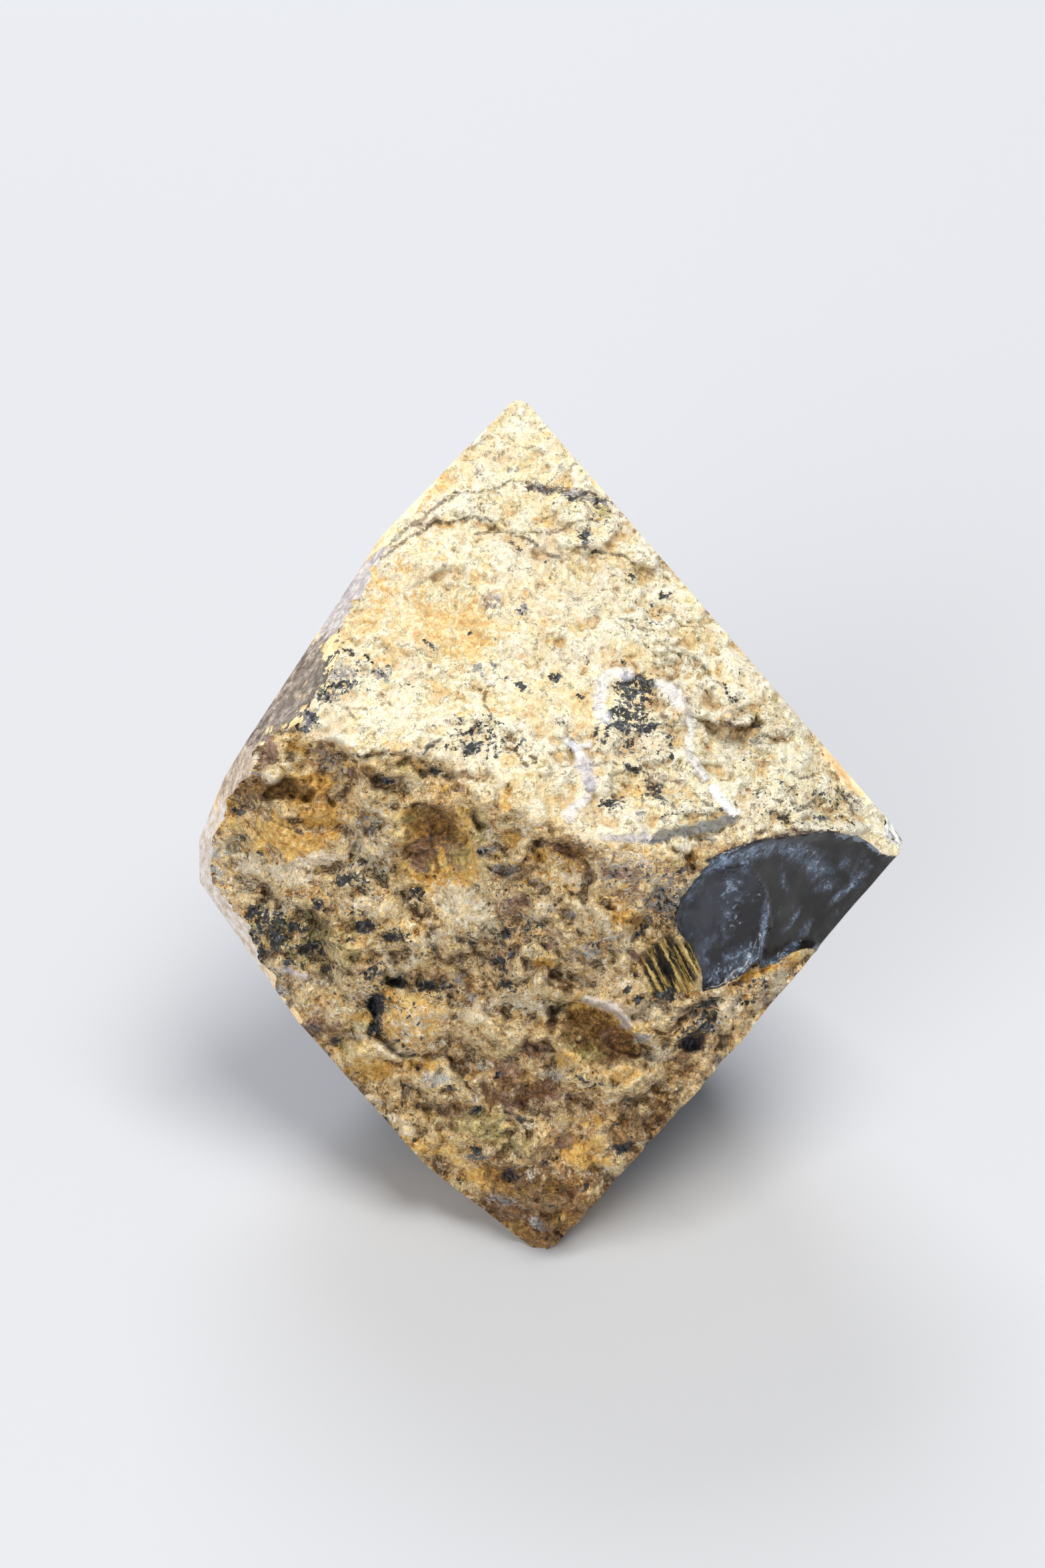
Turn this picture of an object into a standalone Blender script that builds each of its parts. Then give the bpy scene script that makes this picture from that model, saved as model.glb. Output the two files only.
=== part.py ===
"""Dendritic opal: a stone cut and polished all round, with its rough crust left on the front.

The stone is one solid. It leans back on a small polished foot under its lowest corner, and the
crust is a roof of two rough faces that meet at a crooked ridge across the front.
"""
import math

import bmesh
import bpy
import numpy as np
from mathutils import Matrix, Vector, noise

MM = 0.001

# The front is laid out square to a line of sight that looks down on the stone.
LOOK_DOWN = math.radians(30.0)
EYE_DISTANCE = 307.0
MIDDLE_HEIGHT = 33.0

# Corners of the outline: across, up and depth towards the eye, all in millimetres.
TOP_LEFT = (-2.7, 35.6, -11.0)
TOP_RIGHT = (-2.0, 35.3, -11.0)
UPPER_LEFT_BREAK = (-13.0, 25.0, -10.5)
LEFT_SHOULDER = (-27.0, 3.7, -8.0)
LEFT_UPPER = (-29.0, -1.0, -8.0)
LEFT_LOWER = (-29.0, -4.6, -8.0)
LOWER_LEFT_BREAK = (-20.4, -16.7, -8.5)
LOWER_LEFT_BEND = (-10.2, -28.1, -7.5)
BOTTOM_LEFT = (-0.9, -35.4, -4.2)
BOTTOM_RIGHT = (0.9, -34.5, -4.2)
RIGHT_TIP_LOWER = (29.0, -2.3, -1.5)
RIGHT_TIP_UPPER = (29.2, -1.2, -1.5)
RIGHT_SHOULDER = (27.9, 0.3, -2.0)

# Each side of the outline: its two corners and how far its narrow facet faces the eye.
SIDES = (
    (TOP_LEFT, UPPER_LEFT_BREAK, 11.0),
    (UPPER_LEFT_BREAK, LEFT_SHOULDER, 11.0),
    (LEFT_SHOULDER, LEFT_UPPER, 9.0),
    (LEFT_UPPER, LEFT_LOWER, 9.0),
    (LEFT_LOWER, LOWER_LEFT_BREAK, 9.0),
    (LOWER_LEFT_BREAK, LOWER_LEFT_BEND, 6.0),
    (LOWER_LEFT_BEND, BOTTOM_LEFT, 3.0),
    (BOTTOM_LEFT, BOTTOM_RIGHT, 2.0),
    (BOTTOM_RIGHT, RIGHT_TIP_LOWER, 1.5),
    (RIGHT_TIP_LOWER, RIGHT_TIP_UPPER, 2.0),
    (RIGHT_TIP_UPPER, RIGHT_SHOULDER, 4.0),
    (RIGHT_SHOULDER, TOP_RIGHT, 5.0),
    (TOP_RIGHT, TOP_LEFT, 8.0),
)

# Corners of the polished back, in world millimetres: across, back and up from the foot.
FOOT_BACK_HALF_WIDTH = 11.5
FOOT_BACK = 17.0
FOOT_SINK = -0.6
BACK_HALF_WIDTH = 13.0
BACK_DEPTH = 29.0
BACK_HEIGHT = 27.0
BACK_CORNERS = (
    (-FOOT_BACK_HALF_WIDTH, FOOT_BACK, FOOT_SINK),
    (FOOT_BACK_HALF_WIDTH, FOOT_BACK, FOOT_SINK),
    (-BACK_HALF_WIDTH - 2.0, BACK_DEPTH - 3.0, BACK_HEIGHT - 3.0),
    (BACK_HALF_WIDTH, BACK_DEPTH, BACK_HEIGHT),
)

# The ridge across the front, left to right: across, up and depth towards the eye.
RIDGE = (
    (-29.0, 5.0, -0.5),
    (-25.0, 7.4, 3.5),
    (-21.2, 8.6, 7.5),
    (-15.8, 5.9, 10.5),
    (-12.6, 6.5, 12.0),
    (-8.4, 5.1, 13.5),
    (-2.8, 2.7, 15.2),
    (0.3, 0.2, 16.2),
    (3.8, -1.0, 16.6),
    (9.8, -1.5, 16.0),
    (16.1, -1.3, 13.6),
    (20.4, -0.6, 10.8),
    (23.7, -0.4, 7.6),
    (28.3, -2.4, 2.6),
    (32.0, -3.0, -1.0),
)
UPPER_SLOPE = 0.67
LOWER_SLOPE = 0.48
RIDGE_ROUNDING = 0.6

# The ridge's crooks fade with distance from it, by averaging it over a growing stretch.
RIDGE_FADE = 0.45
RIDGE_SAMPLES = 9

# Hollows and lumps of the crust: across, up, half width, half height and how far it stands out.
HOLLOWS_AND_LUMPS = (
    (-22.9, 3.0, 2.6, 1.6, -1.5),
    (-21.3, -1.0, 4.4, 2.2, 0.7),
    (-9.3, -1.6, 3.2, 3.8, -1.6),
    (1.2, -1.9, 2.8, 1.9, -1.4),
    (-11.6, -16.6, 2.8, 3.2, 1.2),
    (-14.8, -15.4, 1.5, 2.4, -1.4),
    (3.9, -17.7, 3.6, 2.6, -1.9),
    (10.1, -11.6, 2.9, 2.3, -1.1),
    (14.6, -7.7, 4.2, 5.2, -1.5),
    (22.6, -4.9, 6.2, 3.6, -1.5),
    (8.4, 5.6, 5.4, 6.4, 0.6),
    (-7.9, 17.9, 4.2, 3.2, -0.5),
    (15.7, 8.1, 2.4, 1.2, -0.7),
)

GRID_STEP = 1.25
GRID_HALF_WIDTH = 33.0
GRID_HALF_HEIGHT = 39.0
BLOCK_BACK = -60.0
WAVE_LENGTH = 9.0
WAVE_HEIGHT = 0.5

CRUST_COLOUR = (0.584, 0.410, 0.195, 1.0)
CRUST_ROUGHNESS = 0.55

TOWARDS_EYE = Vector((0.0, -math.cos(LOOK_DOWN), math.sin(LOOK_DOWN)))
UP_THE_FRONT = Vector((0.0, math.sin(LOOK_DOWN), math.cos(LOOK_DOWN)))
ACROSS = Vector((1.0, 0.0, 0.0))


def clear_scene():
    """Removes every object, so the script gives the same result in any file."""
    for item in list(bpy.data.objects):
        bpy.data.objects.remove(item, do_unlink=True)


def lift(across, up, depth):
    """World position, in millimetres, of a point seen at across and up at a given depth."""
    shrink = 1.0 - depth / EYE_DISTANCE
    place = ACROSS * across * shrink + UP_THE_FRONT * up * shrink + TOWARDS_EYE * depth
    return place + Vector((0.0, 0.0, MIDDLE_HEIGHT))


def ridge_near(across, spread):
    """Height and depth of the ridge at a station, averaged over a stretch on both sides."""
    stations, ups, depths = zip(*RIDGE)
    sample = np.linspace(across - spread, across + spread, RIDGE_SAMPLES)
    return float(np.interp(sample, stations, ups).mean()), float(np.interp(sample, stations, depths).mean())


def crust_depth(across, up):
    """Depth of the rough front, towards the eye, at one point of the front."""
    ridge_up, _ = ridge_near(across, RIDGE_ROUNDING)
    spread = RIDGE_ROUNDING + RIDGE_FADE * abs(up - ridge_up)
    ridge_up, ridge_depth = ridge_near(across, spread)
    above = up - ridge_up
    mean_slope = (UPPER_SLOPE + LOWER_SLOPE) / 2.0
    slope_bias = (UPPER_SLOPE - LOWER_SLOPE) / 2.0
    depth = ridge_depth - mean_slope * math.hypot(above, RIDGE_ROUNDING) - slope_bias * above
    for x, y, half_width, half_height, stand in HOLLOWS_AND_LUMPS:
        reach = ((across - x) / half_width) ** 2 + ((up - y) / half_height) ** 2
        depth += stand * math.exp(-reach)
    wave = noise.fractal(Vector((across, up, 0.0)) / WAVE_LENGTH, 1.0, 2.0, 3)
    return depth + WAVE_HEIGHT * wave


def rough_block():
    """A deep block whose front is the crust, before anything is cut away."""
    columns = round(2.0 * GRID_HALF_WIDTH / GRID_STEP)
    rows = round(2.0 * GRID_HALF_HEIGHT / GRID_STEP)
    block = bmesh.new()
    size = Matrix.Diagonal((GRID_HALF_WIDTH, GRID_HALF_HEIGHT, 1.0, 1.0))
    bmesh.ops.create_grid(block, x_segments=columns, y_segments=rows, size=1.0, matrix=size)
    front = list(block.verts)
    rim = [edge for edge in block.edges if edge.is_boundary]
    back = bmesh.ops.extrude_edge_only(block, edges=rim)["geom"]
    back_verts = [item for item in back if isinstance(item, bmesh.types.BMVert)]
    back_edges = [item for item in back if isinstance(item, bmesh.types.BMEdge)]
    for vert in front:
        vert.co = lift(vert.co.x, vert.co.y, crust_depth(vert.co.x, vert.co.y))
    for vert in back_verts:
        vert.co = lift(vert.co.x, vert.co.y, BLOCK_BACK)
    back_rim = [edge for edge in back_edges if edge.is_boundary]
    bmesh.ops.contextual_create(block, geom=back_rim)
    bmesh.ops.triangulate(block, faces=block.faces[:])
    bmesh.ops.recalc_face_normals(block, faces=block.faces[:])
    return block


def narrow_facets():
    """Planes of the narrow polished facets along the outline, as a point and a normal each."""
    planes = []
    for start, end, facing in SIDES:
        a = lift(*start)
        along = (lift(*end) - a).normalized()
        outward = TOWARDS_EYE.cross(along).normalized()
        if outward.dot(a - Vector((0.0, 0.0, MIDDLE_HEIGHT))) < 0.0:
            outward.negate()
        lean = math.radians(facing)
        face_on = along.cross(outward).normalized()
        if face_on.dot(TOWARDS_EYE) < 0.0:
            face_on.negate()
        planes.append((a, outward * math.cos(lean) + face_on * math.sin(lean)))
    return planes


def back_facets():
    """Planes of the large polished facets, which join the outline to the corners behind it."""
    hull = bmesh.new()
    for start, _, _ in SIDES:
        hull.verts.new(lift(*start))
    for corner in BACK_CORNERS:
        hull.verts.new(corner)
    bmesh.ops.convex_hull(hull, input=hull.verts[:])
    bmesh.ops.dissolve_limit(hull, angle_limit=math.radians(2.0), verts=hull.verts[:], edges=hull.edges[:])
    hull.normal_update()
    planes = []
    for face in hull.faces:
        if face.normal.dot(TOWARDS_EYE) < 0.0:
            planes.append((face.calc_center_median(), face.normal.copy()))
    hull.free()
    return planes


def cut(block, point, normal):
    """Cuts away what lies outside a plane, and closes the cut with a flat polished face."""
    geometry = block.verts[:] + block.edges[:] + block.faces[:]
    result = bmesh.ops.bisect_plane(
        block, geom=geometry, plane_co=point, plane_no=normal, dist=0.002, clear_outer=True
    )
    rim = [item for item in result["geom_cut"] if isinstance(item, bmesh.types.BMEdge)]
    open_rim = [edge for edge in rim if edge.is_boundary]
    if open_rim:
        bmesh.ops.contextual_create(block, geom=open_rim)


def opal_material():
    """Cream and rust crust of the opal."""
    material = bpy.data.materials.new("opal_crust")
    material.use_nodes = True
    shader = material.node_tree.nodes["Principled BSDF"]
    shader.inputs["Base Color"].default_value = CRUST_COLOUR
    shader.inputs["Roughness"].default_value = CRUST_ROUGHNESS
    shader.inputs["Metallic"].default_value = 0.0
    return material


def build_stone():
    """Cuts the rough block to the polished form and makes the one solid."""
    block = rough_block()
    for point, normal in narrow_facets() + back_facets():
        cut(block, point, normal)
    cut(block, Vector((0.0, 0.0, 0.0)), Vector((0.0, 0.0, -1.0)))
    bmesh.ops.remove_doubles(block, verts=block.verts[:], dist=0.01)
    bmesh.ops.triangulate(block, faces=block.faces[:])
    bmesh.ops.recalc_face_normals(block, faces=block.faces[:])
    bmesh.ops.scale(block, vec=(MM, MM, MM), verts=block.verts[:])
    mesh = bpy.data.meshes.new("opal_stone")
    block.to_mesh(mesh)
    block.free()
    mesh.materials.append(opal_material())
    stone = bpy.data.objects.new("opal_stone", mesh)
    bpy.context.scene.collection.objects.link(stone)
    return stone


clear_scene()
build_stone()
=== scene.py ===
"""Dendritic opal with its rough crust in front, as a small add-on that cuts and colours the stone."""
import math

import bpy
import numpy as np
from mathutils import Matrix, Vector


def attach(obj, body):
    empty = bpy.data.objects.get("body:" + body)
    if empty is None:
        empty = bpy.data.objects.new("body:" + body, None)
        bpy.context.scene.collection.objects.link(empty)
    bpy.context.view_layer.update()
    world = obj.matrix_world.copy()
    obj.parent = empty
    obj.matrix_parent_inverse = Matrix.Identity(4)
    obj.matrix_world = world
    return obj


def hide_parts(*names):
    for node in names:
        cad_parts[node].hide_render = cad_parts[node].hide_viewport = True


bl_info = {
    "name": "Dendritic opal",
    "version": (1, 0, 0),
    "blender": (4, 5, 0),
    "location": "3D View > Sidebar > Opal",
    "description": "Cuts a part polished dendritic opal from a rough block and colours its crust",
    "category": "Add Mesh",
}

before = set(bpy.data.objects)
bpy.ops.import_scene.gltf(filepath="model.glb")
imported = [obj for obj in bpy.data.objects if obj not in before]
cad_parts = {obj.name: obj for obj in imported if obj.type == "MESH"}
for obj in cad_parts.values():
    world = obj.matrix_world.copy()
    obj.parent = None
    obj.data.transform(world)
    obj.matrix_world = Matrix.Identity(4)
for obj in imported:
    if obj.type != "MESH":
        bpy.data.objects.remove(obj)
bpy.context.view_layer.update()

MM = 0.001
STONE_NODE = "opal_stone"

# The front is laid out square to the line of sight, in millimetres across, up and towards the eye.
LOOK_DOWN = math.radians(30.0)
EYE_DISTANCE = 307.0
MIDDLE_HEIGHT = 33.0
PIXELS_PER_MM = 18.0
PHOTO_SIZE = (1568, 2353)
PHOTO_MIDDLE = (823.0, 1241.5)
TOWARDS_EYE = Vector((0.0, -math.cos(LOOK_DOWN), math.sin(LOOK_DOWN)))
UP_THE_FRONT = Vector((0.0, math.sin(LOOK_DOWN), math.cos(LOOK_DOWN)))
ACROSS = Vector((1.0, 0.0, 0.0))
MIDDLE = Vector((0.0, 0.0, MIDDLE_HEIGHT))

# Corners of the outline: across, up and depth towards the eye.
TOP_LEFT = (-2.7, 35.6, -11.0)
TOP_RIGHT = (-1.5, 35.3, -11.0)
UPPER_LEFT_BREAK = (-13.0, 25.0, -10.5)
LEFT_SHOULDER = (-27.0, 3.7, -8.0)
LEFT_UPPER = (-29.0, -1.0, -8.0)
LEFT_LOWER = (-29.0, -4.6, -8.0)
LOWER_LEFT_BREAK = (-20.4, -16.7, -8.5)
LOWER_LEFT_BEND = (-10.2, -28.1, -7.5)
BOTTOM_LEFT = (-0.7, -35.6, -4.2)
BOTTOM_RIGHT = (0.4, -35.1, -4.2)
RIGHT_TIP_LOWER = (29.0, -2.2, -1.5)
RIGHT_TIP_UPPER = (29.6, -0.9, -1.5)
RIGHT_SHOULDER = (28.3, 0.6, -2.0)
UPPER_RIGHT_BEND = (20.8, 11.0, -4.6)

# Each side of the outline: its two corners, by how many degrees its narrow facet faces the eye, and
# the widths in millimetres of the bevel between that facet and the crust, near the first corner and
# near the second. All bevels face the eye alike, and their widths are measured at the same stations.
SIDES = (
    (TOP_LEFT, UPPER_LEFT_BREAK, 4.0, 0.2, 0.5),
    (UPPER_LEFT_BREAK, LEFT_SHOULDER, 2.0, 1.6, 2.5),
    (LEFT_SHOULDER, LEFT_UPPER, 3.0, 1.3, 1.3),
    (LEFT_UPPER, LEFT_LOWER, 3.0, 1.4, 1.4),
    (LEFT_LOWER, LOWER_LEFT_BREAK, 3.0, 1.1, 0.8),
    (LOWER_LEFT_BREAK, LOWER_LEFT_BEND, 4.0, 0.0, 0.0),
    (LOWER_LEFT_BEND, BOTTOM_LEFT, 3.0, 0.0, 0.0),
    (BOTTOM_LEFT, BOTTOM_RIGHT, 2.0, 0.0, 0.0),
    (BOTTOM_RIGHT, RIGHT_TIP_LOWER, 1.5, 0.0, 0.0),
    (RIGHT_TIP_LOWER, RIGHT_TIP_UPPER, 2.0, 0.0, 0.0),
    (RIGHT_TIP_UPPER, RIGHT_SHOULDER, 4.0, 1.0, 1.0),
    (RIGHT_SHOULDER, UPPER_RIGHT_BEND, 4.0, 1.2, 0.8),
    (UPPER_RIGHT_BEND, TOP_RIGHT, 4.0, 0.6, 0.5),
    (TOP_RIGHT, TOP_LEFT, 8.0, 0.0, 0.0),
)
BEVEL_FACING = 27.0
BEVEL_STATIONS = (0.25, 0.75)

# Corners of the polished back: across, back and up from the foot, in world millimetres.
BACK_CORNERS = (
    (-11.5, 17.0, -0.6),
    (11.5, 17.0, -0.6),
    (-15.0, 26.0, 24.0),
    (13.0, 29.0, 27.0),
)

# The ridge across the front, left to right: across, up and depth towards the eye.
RIDGE = (
    (-29.0, 5.0, -0.5),
    (-25.0, 7.4, 3.5),
    (-21.2, 8.6, 7.5),
    (-15.8, 5.9, 10.5),
    (-12.6, 6.5, 12.0),
    (-8.4, 5.1, 13.5),
    (-2.8, 2.7, 15.2),
    (0.3, 0.2, 16.2),
    (3.8, -1.0, 16.6),
    (9.8, -1.5, 16.0),
    (16.1, -1.3, 13.6),
    (20.4, -0.6, 10.8),
    (23.7, -0.4, 7.6),
    (28.3, -2.4, 2.6),
    (32.0, -3.0, -1.0),
)

# How steeply the crust falls away above it and below it, how round its crest is in millimetres, and
# how its kinks fade with distance, averaged over a number of samples.
UPPER_SLOPE = 0.67
LOWER_SLOPE = 0.48
RIDGE_ROUNDING = 0.35
RIDGE_FADE = 0.45
RIDGE_SAMPLES = 9

# The block before it is cut, in millimetres: how far apart the points of its front lie, and its size.
GRID_STEP = 0.17
GRID_HALF_WIDTH = 31.0
GRID_HALF_HEIGHT = 37.5
BLOCK_BACK = -60.0

# Its cuts, in millimetres: what a chamfer takes off an edge, and what is rounded off a corner of the
# outline that turns by more than the least one, by planes at these shares of its turn.
CHAMFER = 0.22
CORNER_ROUNDING = 0.8
CORNER_LEAST = math.radians(24.0)
CORNER_SHARES = (0.2, 0.5, 0.8)

# How near two cut points are one, and how near its plane a cut face's centre lies, both in metres,
# and how well it has to face the plane's way.
CUT_WELD = 1e-6
ON_PLANE = 2e-6
SAME_FACING = 0.9999

# The crust, in millimetres: how far the rims stand proud, how deep the pit, the dark opal and the
# threads lie, how far from its line a thread is felt, and how wide and how deep a full hollow is.
RIM_STAND = 0.24
PIT_DEPTH = 1.7
OPAL_DEPTH = 0.5
THREAD_DEPTH = 0.14
THREAD_REACH = 0.6
HOLLOW_REACH = 0.7
HOLLOW_DEPTH = 0.6

# What is too fine for the mesh, in millimetres: how high the crust's grain stands, how wide its
# grains and its scales are, and how wavy the polish is.
BUMP_HEIGHT = 0.19
GRAIN_SIZE = 0.36
SCALE_SIZE = 1.9
RIPPLE_HEIGHT = 0.02

# Opal bends light a little less than quartz, and the weathered crust less than the polished stone.
CRUST_IOR = 1.43
POLISH_IOR = 1.46
POLISH_ROUGHNESS = 0.07

# The studio, in metres: a round floor that curves up into a wall, the lights with their place, aim
# and size, the setting that holds their power, and their colour, and the air.
FLOOR_RADIUS = 0.9
FLOOR_SIDES = 96
SWEEP_RADIUS = 0.5
SWEEP_STEPS = 12
WALL_HEIGHT = 0.8
PAPER_ROUGHNESS = 0.9
LIGHTS = (
    ("overhead_softbox", (0.28, -0.4, 1.37), (0.0, 0.0, 0.03), 0.7, "key_power", "#fffbf0"),
    ("backdrop_softbox", (-0.15, 0.75, 0.7), (0.0, 0.4, 0.0), 0.5, "backdrop_power", "#ffffff"),
    ("front_fill", (-0.35, -0.8, 0.4), (0.0, 0.0, 0.03), 0.45, "fill_power", "#fffaf0"),
)
AIR_COLOUR = "#fbf9f6"
AIR_STRENGTH = 0.42

# The camera: its sensor in millimetres, and the nearest and the farthest that it sees, in metres.
SENSOR_WIDTH = 36.0
SEEN_FROM = 0.01
SEEN_TO = 20.0

# Settings that many nodes share.
TIMES = {"operation": "MULTIPLY"}
TIMES_PLUS = {"operation": "MULTIPLY_ADD"}
SMOOTH = {"interpolation_type": "SMOOTHSTEP"}

# Part of a noise's span that holds nearly all of it, stretched out to the whole.
CLOUD_LOW = 0.36
CLOUD_HIGH = 0.64

# Smooth swellings and hollows: across, up, half width, half height, turn in degrees, and height.
SWELLINGS = (
    (-11.6, -16.5, 2.9, 2.8, 0.0, 1.5), (-21.3, -1.0, 4.0, 1.9, -14.0, 0.7),
    (15.2, 11.0, 2.1, 2.2, 0.0, 1.9), (-8.2, 11.4, 3.4, 1.6, -6.0, -0.6),
    (-11.4, 14.0, 3.0, 1.6, -20.0, 0.5), (-26.0, -1.0, 2.0, 3.4, 0.0, -0.5),
    (-7.9, 17.6, 4.2, 2.6, -20.0, -0.45), (-12.8, 9.6, 4.0, 2.4, -10.0, 0.35),
    (22.6, 2.4, 3.0, 1.8, -10.0, -0.3), (13.6, 6.6, 2.6, 1.6, -35.0, -0.5), (3.6, -8.2, 2.4, 2.4, 0.0, 0.5),
    (6.6, -3.2, 2.6, 1.8, 10.0, 0.5), (-4.6, -17.6, 3.4, 2.4, 0.0, 0.4), (10.4, -19.0, 2.2, 1.6, 40.0, 0.4),
    (-18.6, -17.2, 2.0, 1.6, 0.0, -0.5), (-14.0, -20.2, 1.3, 0.8, 0.0, -0.8),
    (-15.6, -17.0, 1.0, 0.9, 0.0, 0.5), (2.6, -26.8, 2.6, 1.3, -10.0, -0.6),
    (4.2, -17.4, 2.8, 1.7, -25.0, -1.9), (-7.4, -6.8, 2.6, 1.9, -20.0, 0.4),
    (-20.0, -13.2, 2.0, 1.2, -15.0, 0.5),
)

# Small round beads and nodules: across, up, radius and height.
BEADS = (
    (-23.0, 4.3, 0.95, 2.3), (-26.2, 3.6, 0.7, 0.4), (-20.1, 4.1, 0.8, 0.5), (-24.8, 5.5, 0.8, 0.3),
    (-19.6, 0.9, 0.55, 0.45), (-18.7, 1.7, 0.7, 0.4), (-19.9, 2.1, 0.5, 0.3), (-17.9, -0.8, 0.65, 0.3),
    (-7.7, 1.6, 0.38, 0.35), (-8.9, 3.3, 0.6, 0.3), (-2.7, -2.6, 0.55, 0.5), (-3.6, -0.5, 0.45, 0.35),
    (-3.6, -1.3, 0.35, 0.25), (-0.9, -12.6, 0.6, 0.6), (0.6, -13.9, 0.45, 0.4), (-3.4, -17.1, 0.32, 0.3),
    (3.2, -0.8, 0.8, 0.35), (-13.5, -10.8, 0.4, 0.5), (-13.2, -11.6, 0.38, 0.5), (-12.7, -12.2, 0.5, 0.5),
    (-13.9, -12.1, 0.35, 0.3), (-13.6, -13.5, 0.5, 0.5), (-13.5, -14.3, 0.4, 0.4),
    (-15.5, -17.2, 0.75, 0.4), (4.4, -12.9, 0.45, 0.3), (-1.7, -4.9, 0.4, 0.3), (-26.5, -4.9, 0.6, 0.4),
    (-25.2, -3.4, 0.7, 0.3), (-26.9, -1.2, 0.6, 0.3), (-1.0, -9.9, 0.5, 0.4), (8.4, -13.6, 0.7, 0.3),
    (-14.6, -19.8, 0.4, 0.4),
)

# Deep small holes: across, up, half width, half height, turn and depth.
HOLES = (
    (-22.5, 3.2, 1.7, 0.8, 14.0, 2.2), (-20.6, 2.7, 1.5, 0.7, -10.0, 1.9), (-19.7, 2.9, 0.6, 0.5, 0.0, 0.8),
    (-5.8, 0.45, 0.5, 0.36, 0.0, 1.4), (-3.7, 0.65, 0.32, 0.3, 0.0, 0.9), (-0.6, -2.3, 0.5, 0.45, 0.0, 1.0),
    (-3.4, 3.35, 0.5, 0.22, -10.0, 0.9), (-2.4, -3.4, 0.5, 0.25, 20.0, 0.9),
    (-1.7, -4.3, 0.25, 0.3, 0.0, 0.6), (-12.7, -12.9, 0.75, 0.55, 0.0, 1.6),
    (-14.4, -14.9, 0.65, 1.2, 0.0, 1.8), (-14.5, -16.6, 0.4, 0.8, 0.0, 1.0),
    (-10.0, -13.2, 1.0, 0.4, -5.0, 0.9), (-13.0, -9.1, 1.0, 0.45, 0.0, 0.9),
    (0.6, -12.4, 0.9, 0.45, -40.0, 1.3), (-2.6, -12.7, 1.4, 0.3, 5.0, 0.8),
    (2.7, -8.7, 0.7, 0.45, -25.0, 0.7), (-15.2, -8.3, 0.9, 0.4, 0.0, 0.7),
    (-3.0, -29.0, 0.8, 0.7, 20.0, 0.7), (11.8, -18.0, 1.0, 0.6, -25.0, 1.0),
    (8.7, -13.7, 0.5, 0.3, 0.0, 0.5), (-16.8, -20.3, 0.4, 0.3, -30.0, 0.5),
    (-12.0, -19.7, 2.2, 0.35, -8.0, 0.9), (24.9, 0.6, 0.9, 0.25, -25.0, 0.8),
    (12.5, 9.0, 0.5, 0.2, -25.0, 0.5), (12.9, 7.1, 0.7, 0.22, -45.0, 0.6),
    (-14.9, 14.0, 0.5, 0.15, -50.0, 0.6), (-8.5, 25.2, 0.9, 0.22, -8.0, 0.5),
    (-3.2, 7.5, 0.5, 0.3, 0.0, 0.6), (-4.8, 8.95, 0.6, 0.15, 10.0, 0.6), (17.8, -11.9, 1.2, 0.3, 20.0, 0.5),
    (-27.4, -2.4, 0.5, 0.5, 0.0, 0.4), (0.2, 25.6, 1.1, 0.4, 15.0, 0.4),
    (-22.6, -13.4, 0.5, 0.9, 30.0, 0.5),
)

# The round brown pit: its middle and half widths, and the low lobes on its floor, with their height.
PIT = (-9.3, -1.4, 2.9, 3.1)
PIT_LOBES = (
    (-10.9, -2.4, 1.3, 1.8, 0.9), (-7.9, -2.4, 1.3, 1.8, 0.8),
)

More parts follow.
